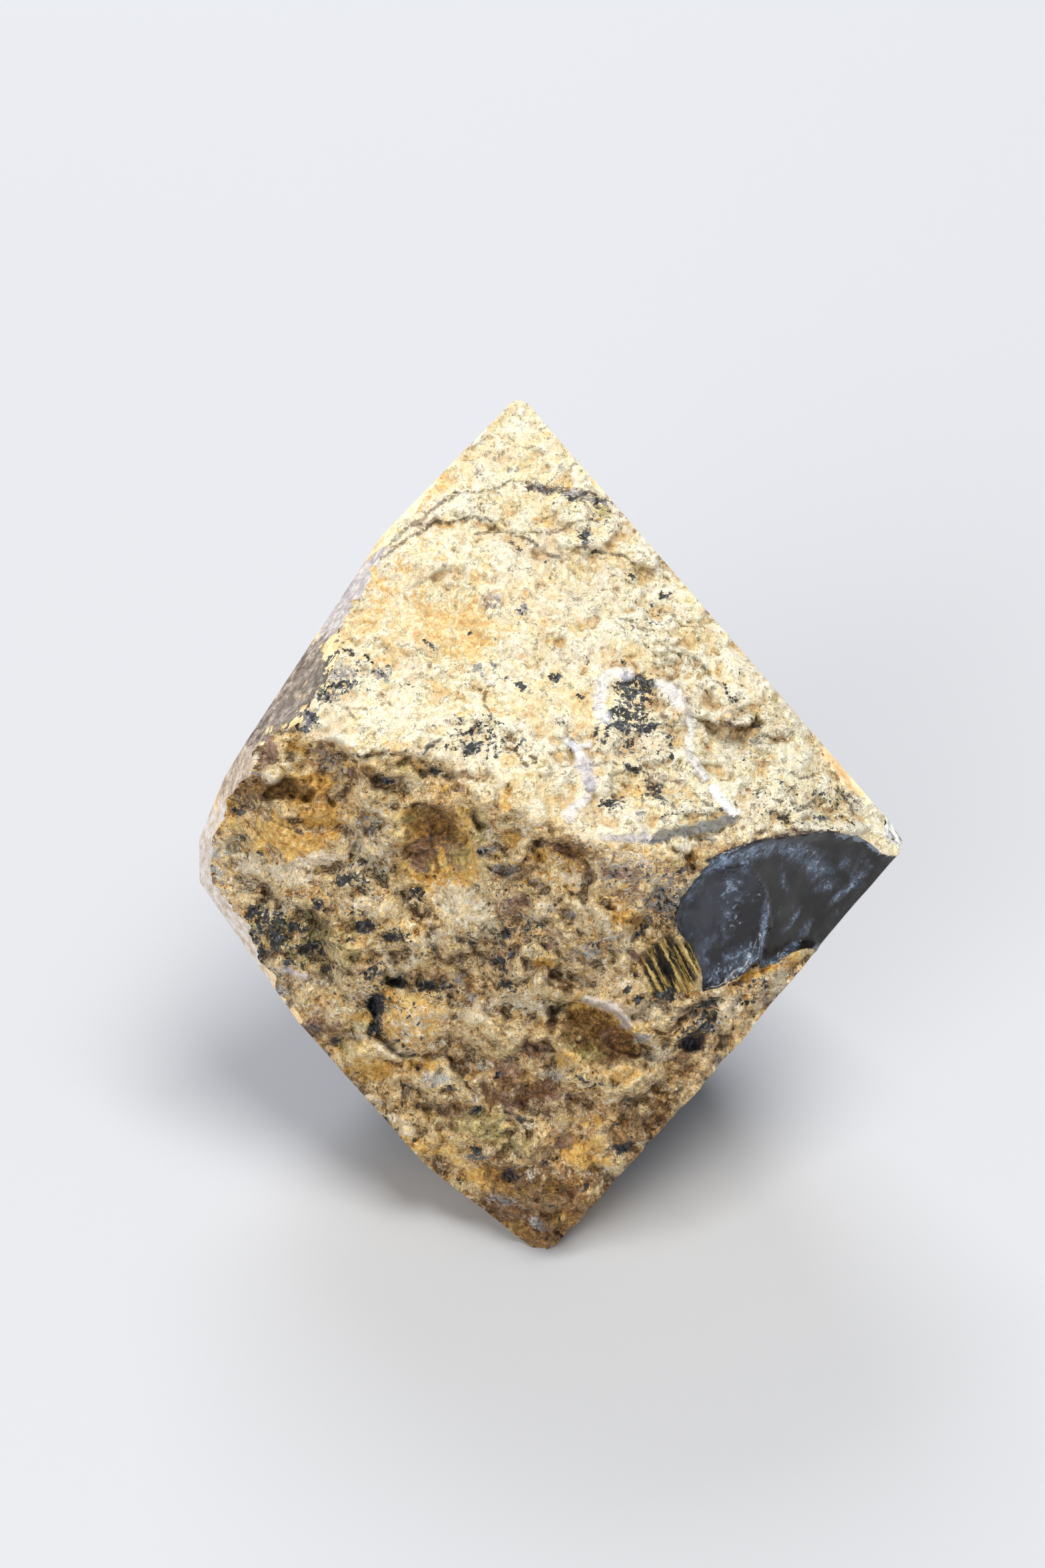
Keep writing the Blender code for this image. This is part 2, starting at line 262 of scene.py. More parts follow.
# Ledges: how far the crust drops below each, over what distance, and its line from left to right.
LEDGES = (
    (1.3, 2.6, ((-21.5, 7.3), (-19.0, 6.8), (-16.5, 6.15), (-13.6, 6.4), (-12.2, 6.6))),
    (0.6, 1.6, ((-12.0, 6.4), (-10.0, 5.8), (-8.6, 5.1), (-6.0, 4.3))),
    (1.8, 2.4, ((-11.6, 1.9), (-10.4, 2.3), (-9.0, 1.5), (-8.3, 0.5), (-6.9, -0.4))),
    (2.2, 3.4, ((-0.8, -0.9), (1.2, -1.1), (2.6, -1.8), (3.5, -2.8), (3.9, -4.1), (3.5, -5.2))),
    (1.2, 1.5, ((-1.8, -10.9), (-0.2, -11.0), (1.4, -11.4), (2.4, -12.2))),
    (2.8, 3.4, (
        (0.4, -14.8), (2.0, -14.2), (3.1, -14.1), (4.6, -14.9), (5.8, -15.5), (6.6, -16.6), (8.3, -18.0),
    )),
    (2.7, 2.0, ((13.6, 8.9), (14.8, 8.7), (15.9, 8.35), (16.5, 8.4), (17.2, 9.0))),
    (0.9, 3.0, ((-5.4, -31.4), (-3.6, -32.0), (-2.2, -32.6), (-0.8, -33.2), (0.4, -34.2))),
    (0.7, 1.2, ((-23.4, -2.6), (-21.4, -3.0), (-19.0, -3.3), (-16.8, -2.6), (-16.2, -1.2))),
    (0.6, 1.2, ((-13.8, -18.9), (-12.2, -19.4), (-10.2, -19.4), (-8.8, -18.4))),
    (0.5, 1.0, ((-7.6, 8.9), (-6.2, 8.7), (-4.6, 8.8), (-3.9, 8.2), (-3.0, 7.6))),
    (0.5, 1.0, (
        (-10.6, 25.2), (-8.2, 25.6), (-5.4, 25.6), (-4.0, 24.8), (-1.6, 24.1), (-0.2, 23.0), (0.8, 22.6),
    )),
    (0.4, 1.0, ((2.2, 23.4), (3.8, 23.1), (5.4, 22.9), (7.2, 22.0))),
    (0.5, 1.2, ((-18.6, 15.6), (-16.8, 15.0), (-16.0, 14.2), (-14.6, 13.2), (-13.4, 12.2))),
    (0.4, 0.8, ((11.6, 9.9), (12.6, 9.2), (13.2, 8.6))),
    (0.45, 1.2, ((11.9, 7.9), (12.6, 7.2), (13.4, 6.4), (14.2, 5.4), (15.4, 4.7))),
    (0.5, 0.9, ((-8.4, -23.4), (-6.4, -23.0), (-4.0, -23.6), (-2.2, -24.2))),
    (0.5, 1.2, ((-14.6, -22.6), (-11.4, -21.4), (-8.0, -21.9), (-5.0, -21.0))),
    (0.5, 1.2, ((-10.0, -26.4), (-7.0, -27.8), (-3.0, -28.2), (0.0, -27.6))),
    (0.5, 1.0, ((0.0, -25.4), (2.0, -25.6), (4.4, -25.2), (6.0, -24.4))),
)

# Cracks and dark threads: width, how dark they are, and their line.
THREADS = (
    (0.1, 0.8, ((-25.3, 0.5), (-24.0, -0.7), (-22.0, -2.8))),
    (0.1, 0.8, ((-24.3, 1.4), (-22.8, 0.5), (-21.5, -0.1), (-20.6, -0.4))),
    (0.08, 0.6, ((-22.1, 0.9), (-21.4, 0.2), (-21.0, 0.0))),
    (0.12, 1.0, ((-9.7, 0.2), (-9.8, -1.2), (-9.5, -2.4), (-9.3, -3.2), (-9.4, -4.3))),
    (0.08, 0.9, ((-11.6, -2.4), (-10.6, -2.0), (-9.7, -1.9))),
    (0.08, 0.9, ((-9.2, -2.1), (-8.2, -2.1), (-7.0, -2.3))),
    (0.08, 0.8, ((-9.6, -1.0), (-10.8, -1.0), (-11.7, -1.4))),
    (0.1, 1.0, ((-16.6, 6.2), (-15.5, 6.15), (-14.5, 6.2), (-13.4, 6.55))),
    (0.12, 0.9, (
        (-14.0, 22.3), (-12.2, 23.8), (-10.8, 24.5), (-10.0, 25.2), (-8.5, 25.5), (-6.2, 25.8),
        (-5.0, 25.6), (-4.3, 24.9),
    )),
    (0.1, 0.8, (
        (-6.0, 24.4), (-4.9, 24.7), (-3.5, 24.5), (-2.3, 24.2), (-1.4, 23.9), (-0.6, 23.2), (0.3, 22.6),
        (0.9, 22.5),
    )),
    (0.08, 0.7, ((-3.2, 24.5), (-1.5, 24.8), (0.0, 24.4), (1.4, 25.0), (3.0, 25.7), (4.8, 25.4))),
    (0.1, 0.9, ((2.4, 23.3), (2.9, 23.4), (3.9, 23.0), (5.2, 22.9), (6.3, 22.5), (7.2, 22.0))),
    (0.08, 0.7, ((0.4, 22.5), (0.45, 21.5), (0.2, 20.8))),
    (0.12, 0.8, (
        (-14.2, 22.9), (-10.2, 26.0), (-7.8, 27.7), (-5.9, 27.8), (-4.0, 28.3), (-3.2, 29.0), (-2.3, 28.9),
    )),
    (0.2, 1.0, ((-1.9, 28.6), (-0.9, 28.3), (0.4, 28.05), (1.6, 28.0))),
    (0.13, 0.9, ((2.6, 28.0), (3.6, 27.8), (4.4, 27.3), (5.4, 26.9))),
    (0.08, 0.8, ((3.9, 5.4), (5.2, 5.5), (6.5, 5.2), (7.5, 4.9), (8.3, 4.7), (8.5, 4.2), (8.0, 3.9))),
    (0.07, 0.8, ((7.2, 3.5), (7.6, 2.9), (7.8, 2.1))),
    (0.08, 0.8, ((-5.2, 11.5), (-5.5, 10.8), (-5.3, 10.2), (-4.8, 9.3))),
    (0.08, 0.7, ((-17.2, 10.0), (-16.2, 10.05), (-15.3, 9.9))),
    (0.08, 0.7, ((-16.9, 9.9), (-16.5, 9.4), (-16.1, 9.2))),
    (0.08, 0.6, ((-14.2, 11.4), (-13.6, 10.6), (-13.1, 10.2))),
    (0.1, 0.8, ((17.7, 7.8), (19.0, 7.3), (20.5, 7.9))),
    (0.1, 0.8, ((20.2, 4.7), (21.0, 4.1), (21.6, 4.3), (22.5, 4.5))),
    (0.1, 0.9, ((16.4, 3.2), (18.0, 3.3), (18.7, 2.6), (19.4, 2.2))),
    (0.12, 0.9, ((18.8, 1.4), (19.6, 1.0), (20.4, 1.4), (21.7, 1.8))),
    (0.1, 0.8, ((20.0, 2.5), (20.6, 2.0), (21.4, 1.9), (22.1, 2.3))),
    (0.12, 0.8, ((24.0, 3.4), (24.5, 2.6), (25.2, 1.8), (25.4, 1.2))),
    (0.1, 0.8, ((12.1, 2.9), (12.8, 2.3), (13.6, 1.8), (14.4, 1.6))),
    (0.1, 0.8, ((12.3, 1.0), (13.2, 1.3), (13.9, 0.9))),
    (0.16, 1.0, ((-3.6, 6.8), (-2.9, 6.5), (-2.4, 6.0), (-2.1, 5.4), (-1.7, 5.2))),
    (0.13, 1.0, ((-1.6, 6.1), (-1.2, 6.0), (-1.2, 5.6))),
    (0.1, 0.9, ((-10.9, 6.9), (-10.2, 6.7), (-9.8, 7.0), (-9.2, 7.4), (-8.8, 7.7))),
    (0.1, 0.8, ((8.2, 3.8), (8.7, 3.1), (9.3, 2.4), (10.4, 1.9))),
    (0.1, 0.8, ((-3.6, -23.8), (-2.6, -24.0), (-2.2, -24.4), (-1.9, -25.0))),
    (0.14, 0.9, ((-4.1, -25.9), (-3.6, -25.2), (-3.1, -25.6), (-3.3, -26.4), (-2.6, -27.1))),
    (0.16, 0.9, ((2.4, -10.9), (3.2, -11.3), (4.2, -11.0), (4.6, -10.6))),
    (0.12, 0.9, ((12.2, -14.9), (11.2, -15.8), (10.2, -17.0), (9.6, -18.4))),
    (0.14, 1.0, ((16.0, -1.25), (18.0, -0.85), (20.0, -0.5), (22.0, -0.3), (24.2, -0.3))),
    (0.1, 0.7, ((12.7, 13.4), (13.4, 13.0), (13.8, 12.2), (14.6, 11.9))),
    (0.08, 0.6, ((9.0, 15.4), (10.6, 14.6), (11.8, 14.4), (12.4, 13.8))),
    (0.1, 0.8, ((5.6, 17.6), (6.4, 17.4), (7.4, 16.6), (8.6, 16.4))),
    (0.08, 0.7, ((9.2, 18.2), (10.4, 17.6), (11.0, 17.0), (12.2, 16.8))),
)

# Black and blue-black manganese: across, up, half width, half height, turn and density, as in each
# list of marks below.
BLACK = (
    (-24.8, -7.3, 0.7, 0.8, -30.0, 0.9), (-23.6, -7.4, 0.6, 0.3, 20.0, 0.8),
    (-22.4, -7.9, 1.1, 0.5, 0.0, 0.9), (-20.9, -8.5, 1.0, 0.5, -10.0, 0.9),
    (-22.5, -9.4, 0.8, 0.9, 20.0, 1.0), (-19.9, -10.0, 1.3, 0.4, 5.0, 0.8),
    (-18.9, -10.5, 0.4, 0.4, 0.0, 0.8), (-24.0, -10.3, 0.5, 0.8, 20.0, 0.8),
    (-24.6, -9.2, 0.4, 0.5, 0.0, 0.7), (-21.7, -11.4, 0.4, 0.6, 0.0, 0.8),
    # The spots at (-15.2, -8.2), (-13.0, -9.1), (-12.7, -12.9), (-14.4, -14.9), (-14.5, -16.7), (-10.0,
    # -13.3), (-3.0, -29.1) and (11.9, -17.9) lie on the deep holes and blacken their insides.
    (-15.2, -8.2, 1.1, 0.5, 0.0, 0.9), (-18.2, -11.7, 0.7, 0.25, 20.0, 0.8),
    (-14.6, -12.0, 0.5, 0.5, 0.0, 1.0), (-15.3, -12.4, 0.4, 0.3, 0.0, 0.9),
    (-17.1, -4.2, 0.9, 0.4, 10.0, 0.9), (-15.6, -3.1, 0.5, 0.8, -20.0, 0.8),
    (-15.4, -4.9, 0.4, 0.6, 0.0, 0.8), (-19.3, -6.5, 0.3, 0.8, -20.0, 0.7),
    (-25.4, -0.8, 0.3, 0.4, 0.0, 0.8), (-25.9, 1.3, 0.5, 0.4, 20.0, 0.7), (-23.8, -2.3, 0.3, 0.3, 0.0, 0.7),
    (-16.4, -6.9, 0.8, 0.25, 0.0, 0.7), (-17.6, -5.2, 0.3, 0.2, 0.0, 0.7),
    (-16.7, -9.6, 0.3, 0.2, 0.0, 0.7), (-13.0, -9.1, 1.2, 0.5, 0.0, 0.9),
    (-11.0, -5.4, 0.8, 0.5, -30.0, 0.7), (-14.05, -0.1, 0.2, 0.2, 0.0, 0.9),
    (-13.6, 4.1, 0.7, 0.5, 0.0, 0.9), (-9.4, 4.8, 0.6, 0.35, -30.0, 0.8), (-3.8, -8.7, 0.5, 0.7, 0.0, 0.9),
    (-4.1, -10.9, 0.4, 0.6, 20.0, 0.9), (-3.7, -13.0, 0.6, 0.4, 0.0, 0.9), (-2.0, -4.7, 0.8, 0.3, 0.0, 0.6),
    (-5.4, -1.9, 0.5, 0.3, 0.0, 0.7), (-1.6, -8.2, 1.8, 0.3, 5.0, 0.5), (-12.7, -12.9, 0.8, 0.6, 0.0, 1.0),
    (-14.4, -14.9, 0.7, 1.2, 0.0, 1.0), (-14.5, -16.7, 0.45, 0.8, 0.0, 0.9),
    (-10.0, -13.3, 1.1, 0.5, -5.0, 0.9), (-8.6, -13.2, 0.8, 0.3, 10.0, 0.7),
    (-10.3, -10.6, 1.0, 0.3, 10.0, 0.6), (-12.6, -17.8, 0.3, 0.22, 0.0, 1.0),
    (-11.2, -18.9, 0.22, 0.22, 0.0, 1.0), (-13.2, -16.4, 0.16, 0.14, 0.0, 1.0),
    (-11.6, -15.8, 0.2, 0.16, 0.0, 0.9), (-10.7, -16.4, 0.3, 0.12, 40.0, 0.9),
    (-11.7, -17.2, 0.3, 0.1, -60.0, 0.9), (-10.6, -17.6, 0.2, 0.14, 30.0, 0.9),
    (-11.9, -18.4, 0.12, 0.12, 0.0, 0.9), (-11.0, -14.5, 0.2, 0.1, 0.0, 0.8),
    (-19.5, -16.8, 0.7, 0.4, 0.0, 0.5), (-17.6, -17.7, 0.6, 0.25, -10.0, 0.8),
    (-18.6, -18.9, 0.4, 0.8, 30.0, 0.6), (-8.2, -21.9, 0.7, 0.3, 0.0, 0.7),
    (-11.0, -26.1, 0.3, 0.2, 0.0, 1.0), (-13.4, -24.6, 0.5, 0.2, -30.0, 0.6),
    (-5.8, -23.5, 0.5, 0.4, 0.0, 0.8), (-2.4, -24.3, 0.6, 0.3, -40.0, 1.0),
    (-6.0, -26.8, 0.5, 0.25, 10.0, 1.0), (-0.1, -28.0, 0.45, 0.22, 0.0, 1.0),
    (0.5, -27.6, 0.25, 0.25, 0.0, 0.8), (-3.0, -29.1, 0.7, 0.6, 20.0, 0.7),
    (-7.2, -29.5, 0.25, 0.5, 0.0, 0.8), (3.3, -29.9, 0.3, 0.35, 0.0, 0.9),
    (2.4, -30.0, 0.3, 0.15, 0.0, 0.8), (0.3, -31.5, 0.4, 0.15, 10.0, 0.8), (0.9, -32.5, 0.4, 0.2, 0.0, 0.5),
    (6.1, -26.7, 1.0, 0.5, 25.0, 0.9), (5.6, -24.7, 0.4, 0.15, 0.0, 0.7), (6.5, -22.6, 0.3, 0.2, 0.0, 0.8),
    (6.6, -23.2, 0.3, 0.15, 0.0, 0.8), (-4.2, -20.5, 0.35, 0.25, 0.0, 0.9),
    (2.7, -20.9, 0.6, 0.2, -15.0, 0.7), (-3.4, -19.3, 0.3, 0.6, 0.0, 0.6),
    (3.8, -21.6, 0.9, 0.12, 20.0, 0.7), (9.8, -13.9, 1.1, 0.5, 0.0, 1.0), (7.1, -12.1, 0.3, 0.5, 20.0, 0.8),
    (6.6, -13.4, 0.5, 0.3, 0.0, 0.8), (7.4, -14.1, 0.5, 0.3, 0.0, 0.9), (5.3, -13.1, 0.3, 0.15, 0.0, 0.8),
    (11.9, -17.9, 1.1, 0.7, -20.0, 0.9), (13.2, -16.2, 0.9, 1.3, 30.0, 0.7),
    (12.8, -14.9, 1.3, 0.3, 40.0, 0.8), (4.0, -9.5, 0.8, 0.3, 0.0, 0.6), (7.3, -8.7, 0.5, 0.25, 40.0, 0.8),
    (8.1, -8.1, 0.3, 0.2, 0.0, 0.8), (11.2, -3.1, 0.8, 0.35, 45.0, 0.7), (9.5, -8.0, 0.4, 0.2, 0.0, 0.8),
    (-6.4, -9.4, 0.7, 0.5, -20.0, 0.6), (-16.0, -14.9, 0.3, 0.2, 0.0, 0.6),
    (7.5, 12.45, 0.8, 0.3, -5.0, 1.0), (8.5, 12.2, 0.5, 0.12, -20.0, 0.9),
    (7.35, 11.25, 0.85, 0.5, 10.0, 1.0), (6.5, 10.5, 0.5, 0.3, 20.0, 0.8), (5.4, 9.7, 0.7, 0.45, 0.0, 0.8),
    (6.8, 9.3, 1.2, 0.4, -15.0, 0.9), (5.7, 8.6, 1.1, 0.3, 5.0, 0.8), (8.3, 8.35, 0.6, 0.35, 30.0, 1.0),
    (7.8, 9.9, 0.3, 0.4, 0.0, 0.9), (4.4, 8.2, 0.5, 0.25, 0.0, 0.7), (4.4, 7.3, 0.4, 0.4, -30.0, 0.6),
    (6.9, 7.0, 0.6, 0.3, 0.0, 0.5), (10.1, 7.7, 0.4, 0.15, -40.0, 0.9), (10.2, 6.9, 0.2, 0.35, 0.0, 0.7),
    (10.1, 6.0, 0.2, 0.3, 0.0, 0.7), (6.9, 5.0, 0.75, 0.2, -5.0, 0.9), (8.6, 3.35, 0.5, 0.3, -20.0, 1.0),
    (9.2, 2.8, 0.5, 0.3, -45.0, 0.8), (5.0, 2.1, 0.4, 0.2, 20.0, 1.0), (4.2, 1.9, 0.3, 0.2, 0.0, 0.8),
    (6.1, 2.5, 0.2, 0.12, 0.0, 0.8), (9.7, 1.2, 0.2, 0.3, 0.0, 0.6), (0.5, 12.7, 0.45, 0.34, -10.0, 1.0),
    (-2.5, 11.95, 0.55, 0.2, -40.0, 1.0), (-3.6, 12.6, 0.35, 0.15, -30.0, 0.8),
    (-6.7, 8.3, 1.2, 0.28, 3.0, 0.9), (-5.3, 8.75, 0.8, 0.1, 10.0, 1.0), (-7.3, 9.2, 0.3, 0.35, 40.0, 0.5),
    (-6.6, 6.7, 0.9, 0.25, -10.0, 0.9), (-5.2, 7.2, 0.4, 0.2, 20.0, 0.6),
    (-2.3, 18.3, 0.35, 0.45, 20.0, 0.6), (-2.6, 17.1, 0.2, 0.7, -10.0, 0.4),
    (3.0, 24.2, 0.5, 0.4, -30.0, 0.9), (3.6, 23.0, 0.3, 0.18, 0.0, 0.8), (2.1, 27.25, 0.4, 0.15, 10.0, 0.9),
    (4.1, 27.2, 0.35, 0.25, -20.0, 0.7), (-2.7, 23.35, 0.5, 0.2, -20.0, 0.6),
    (-0.05, 22.2, 0.25, 0.3, 0.0, 0.5), (7.0, 20.9, 0.35, 0.14, -30.0, 0.9),
    (9.6, 19.4, 0.45, 0.25, -25.0, 0.9), (10.3, 19.7, 0.3, 0.2, 0.0, 0.5),
    (-9.8, 15.2, 0.5, 0.15, -40.0, 0.7), (-6.6, 16.2, 0.15, 0.15, 0.0, 0.8),
    (-7.6, 21.4, 0.15, 0.12, 0.0, 0.7), (-10.4, 15.8, 0.15, 0.2, 0.0, 0.7),
    (-18.8, 11.0, 1.0, 0.6, 15.0, 0.8), (-17.0, 11.9, 1.2, 0.2, 8.0, 0.8),
    (-14.1, 13.2, 0.6, 0.5, 0.0, 0.6), (-20.6, 8.4, 1.2, 0.2, -38.0, 0.9),
    (-19.8, 9.3, 0.9, 0.3, -45.0, 0.8), (-16.8, 12.6, 0.2, 0.15, 0.0, 0.8),
    (-18.6, 12.6, 0.3, 0.2, 0.0, 0.6), (-15.0, 14.0, 0.6, 0.13, -48.0, 1.0),
    (-16.6, 14.6, 0.9, 0.2, -48.0, 0.7), (-11.7, 11.9, 0.4, 0.15, 10.0, 0.8),
    (14.9, 11.6, 0.6, 0.15, -55.0, 0.8), (15.4, 10.8, 0.3, 0.35, 0.0, 0.7),
    (15.95, 12.9, 0.14, 0.34, 0.0, 0.9), (3.1, 14.1, 0.12, 0.5, 10.0, 0.7),
    (6.2, 14.0, 0.3, 0.2, -40.0, 0.8), (8.1, 15.0, 0.4, 0.15, 0.0, 0.5), (10.0, 14.4, 0.35, 0.15, 0.0, 0.6),
    (2.7, 10.85, 0.5, 0.2, -20.0, 0.7), (0.9, 8.9, 0.5, 0.22, 0.0, 0.6), (16.3, 5.5, 0.3, 0.15, 0.0, 0.8),
    (17.3, 8.4, 0.5, 0.2, -30.0, 0.6), (21.9, 3.0, 0.2, 0.25, 0.0, 0.8), (22.8, 0.7, 0.5, 0.25, -30.0, 0.6),
    (19.5, 0.9, 0.5, 0.3, 0.0, 0.7), (24.6, 2.6, 0.5, 0.5, -50.0, 0.6), (16.9, -14.4, 1.2, 0.2, 10.0, 0.7),
    (16.6, -12.9, 0.4, 0.6, 20.0, 0.7), (17.9, -13.0, 0.4, 0.4, 0.0, 0.6),
    (14.0, -14.2, 1.0, 0.2, 20.0, 0.6), (10.6, -19.3, 0.5, 0.3, 0.0, 0.5), (8.9, 17.6, 0.3, 0.14, 0.0, 0.6),
)
# Broad areas that are more or less peppered with black.
PEPPER = (
    (-23.0, -8.2, 2.6, 1.6, -20.0, 0.74), (-19.8, -10.0, 2.4, 0.9, 5.0, 0.6),
    (7.2, 11.6, 1.5, 1.3, -10.0, 0.9), (6.7, 9.2, 2.0, 1.4, -12.0, 0.85), (8.6, 3.0, 1.1, 0.8, -30.0, 0.6),
    (5.0, 2.2, 1.0, 0.6, 0.0, 0.5), (-15.6, -4.4, 2.0, 1.6, -30.0, 0.36),
    (-5.4, 7.4, 3.4, 1.6, -10.0, 0.48), (1.0, 27.7, 4.2, 0.7, -12.0, 0.34),
    (3.6, 25.4, 2.4, 1.0, -20.0, 0.24), (-12.8, -9.2, 1.6, 0.8, 0.0, 0.5),
    (-14.4, -13.4, 1.2, 2.6, 0.0, 0.5), (12.4, -16.2, 1.4, 2.4, -35.0, 0.55),
    (-3.9, -10.4, 0.9, 3.0, 5.0, 0.45), (-9.6, -13.4, 2.2, 0.8, -5.0, 0.5),
    (10.0, -6.0, 2.6, 2.4, 40.0, 0.42), (-21.0, -9.0, 5.0, 3.4, -10.0, 0.3),
    (-2.6, -9.0, 2.6, 5.4, 10.0, 0.24), (7.0, 9.0, 3.4, 3.2, 0.0, 0.26), (21.0, 2.0, 4.6, 2.4, -8.0, 0.24),
    (12.5, 1.6, 3.2, 1.6, 0.0, 0.16), (6.4, -4.2, 3.0, 1.8, 8.0, 0.24), (15.5, -13.8, 3.4, 1.8, 35.0, 0.24),
    (-17.4, 12.4, 3.2, 1.8, 20.0, 0.26), (12.0, -16.5, 2.4, 2.4, 40.0, 0.28),
    (-13.0, -13.6, 4.0, 2.4, 0.0, 0.16), (-5.6, -25.6, 4.0, 2.4, 0.0, 0.12),
    (1.0, -29.0, 5.0, 2.4, 20.0, 0.12), (-22.4, -14.0, 2.0, 3.0, 30.0, 0.1),
    (8.4, 17.4, 3.4, 2.4, -20.0, 0.12), (-17.0, -4.0, 3.0, 2.4, 0.0, 0.14),
)

# Iron stain, golden to rust brown.
RUST = (
    (-20.2, 3.2, 3.0, 1.4, 5.0, 0.9), (-19.2, 1.2, 2.4, 1.6, 0.0, 0.8),
    (-21.4, -1.0, 4.2, 1.9, -14.0, 0.72), (-18.0, -0.9, 0.9, 0.8, 0.0, 0.7),
    (-9.3, -1.3, 3.2, 3.4, 0.0, 0.75), (-9.6, -4.2, 2.6, 0.8, 0.0, 0.8), (-6.8, -2.9, 0.9, 1.8, -10.0, 0.7),
    (-3.6, 2.4, 0.5, 1.2, 0.0, 0.7), (-3.2, -0.8, 0.7, 0.9, 0.0, 0.6), (-2.7, -2.9, 0.9, 0.9, 0.0, 0.7),
    (-1.7, -4.5, 0.5, 0.5, 0.0, 0.9), (-0.6, -2.3, 0.7, 0.6, 0.0, 0.8), (1.6, -1.9, 2.0, 0.8, -20.0, 0.6),
    (6.4, -7.5, 1.4, 0.7, -10.0, 0.9), (5.4, -5.0, 1.4, 0.5, 0.0, 0.5), (12.2, -2.4, 1.6, 0.5, 25.0, 0.6),
    (-0.8, -11.2, 1.4, 0.4, 0.0, 0.9), (-1.0, -12.7, 0.8, 0.6, 0.0, 0.6), (0.6, -13.9, 0.6, 0.5, 0.0, 0.7),
    (4.6, -16.6, 3.4, 2.0, -25.0, 0.8), (2.0, -18.8, 2.4, 1.2, 0.0, 0.5),
    (-11.6, -16.4, 2.8, 2.7, 0.0, 0.62), (-8.0, -27.0, 5.0, 1.8, -35.0, 0.4),
    (-15.6, -19.6, 2.4, 2.6, -40.0, 0.4), (-10.3, -15.2, 0.4, 0.6, 0.0, 0.9),
    (-13.6, -14.0, 0.9, 1.0, 0.0, 0.7), (-14.0, -20.2, 1.4, 0.7, 0.0, 0.8),
    (-10.8, -19.8, 1.6, 0.5, 0.0, 0.7), (-15.8, -15.9, 1.4, 0.5, 0.0, 0.6),
    (-16.8, -20.3, 0.6, 0.4, 0.0, 0.8), (-14.0, -22.4, 0.8, 0.4, 0.0, 0.7),
    (-9.9, -24.2, 1.0, 0.8, 0.0, 0.5), (-10.6, -26.8, 2.4, 0.7, -20.0, 0.6),
    (-4.6, -29.4, 2.6, 1.2, -20.0, 0.7), (2.6, -27.0, 2.6, 1.4, -10.0, 0.8),
    (1.2, -29.8, 2.2, 0.6, 0.0, 0.7), (1.4, -33.2, 1.4, 1.4, 0.0, 0.6), (-2.8, -33.6, 2.4, 0.8, -30.0, 0.7),
    (6.0, -20.6, 1.8, 0.7, 15.0, 0.6), (3.2, -24.6, 2.4, 1.0, 15.0, 0.5), (-6.0, -6.2, 1.2, 0.8, 0.0, 0.4),
    (-5.0, -7.4, 0.8, 0.5, 0.0, 0.6), (9.9, -13.4, 2.4, 0.4, 0.0, 0.5), (17.6, -12.0, 1.8, 0.4, 20.0, 0.9),
    (20.6, -11.0, 1.2, 0.5, 25.0, 0.6), (-27.0, 1.0, 1.2, 2.6, 0.0, 0.5), (-23.6, 3.4, 2.4, 0.6, 0.0, 0.7),
    (-20.8, 6.6, 1.2, 0.6, 0.0, 0.6), (-8.4, -11.6, 1.8, 1.4, 0.0, 0.3),
    (-24.2, -1.4, 1.2, 1.0, -30.0, 0.5), (-7.4, 18.0, 1.6, 0.9, -40.0, 0.8),
    (-6.4, 15.7, 2.4, 0.6, 8.0, 0.8), (-8.0, 16.4, 4.6, 3.2, -10.0, 0.66),
    (-7.6, 18.6, 6.4, 5.0, -10.0, 0.36), (-13.0, 18.4, 4.6, 6.4, -30.0, 0.5),
    (-9.8, 27.9, 2.8, 0.8, 45.0, 0.6), (2.0, 9.0, 3.0, 2.0, 0.0, 0.3), (-11.6, 20.6, 2.2, 3.0, -30.0, 0.4),
    (-9.0, 11.7, 1.6, 0.4, -20.0, 0.6), (-12.9, 16.3, 0.8, 0.4, 0.0, 0.5),
    (-10.0, 10.6, 2.4, 1.2, 0.0, 0.3), (-14.6, 6.9, 2.6, 0.6, 0.0, 0.5), (-1.0, 16.8, 1.0, 1.2, 0.0, 0.4),
    (2.4, 11.4, 1.0, 0.8, 0.0, 0.55), (4.6, 4.9, 1.4, 0.6, 0.0, 0.5), (7.3, 2.8, 0.8, 1.0, 0.0, 0.6),
    (9.9, 9.6, 1.0, 0.8, 0.0, 0.6), (11.0, 7.2, 0.5, 0.8, 0.0, 0.5), (8.8, 14.0, 0.9, 0.5, 0.0, 0.5),
    (9.9, 3.6, 1.2, 0.8, 0.0, 0.25), (-0.4, 25.4, 1.6, 0.6, 0.0, 0.6), (-8.4, 25.2, 1.2, 0.3, -8.0, 0.7),
    (1.4, 28.6, 1.2, 0.6, -30.0, 0.5), (5.0, 24.0, 1.6, 0.8, -30.0, 0.3), (-4.6, 9.6, 1.2, 0.8, 0.0, 0.4),
    (-7.0, 9.6, 0.8, 0.5, 0.0, 0.5), (14.6, 9.3, 1.0, 0.5, -10.0, 0.6), (-3.2, 5.8, 1.4, 1.0, 0.0, 0.4),
    (3.0, 10.0, 2.4, 0.4, 0.0, 0.4), (22.3, 4.0, 0.5, 0.3, 0.0, 0.6), (-10.8, 1.2, 1.6, 0.9, 0.0, 0.7),
    (-8.9, 3.4, 0.5, 0.5, 0.0, 0.5), (-11.6, 5.4, 2.4, 0.8, 0.0, 0.4), (-15.6, 4.9, 1.4, 0.8, -20.0, 0.5),
    (0.2, -18.0, 1.6, 1.0, 0.0, 0.3),
)

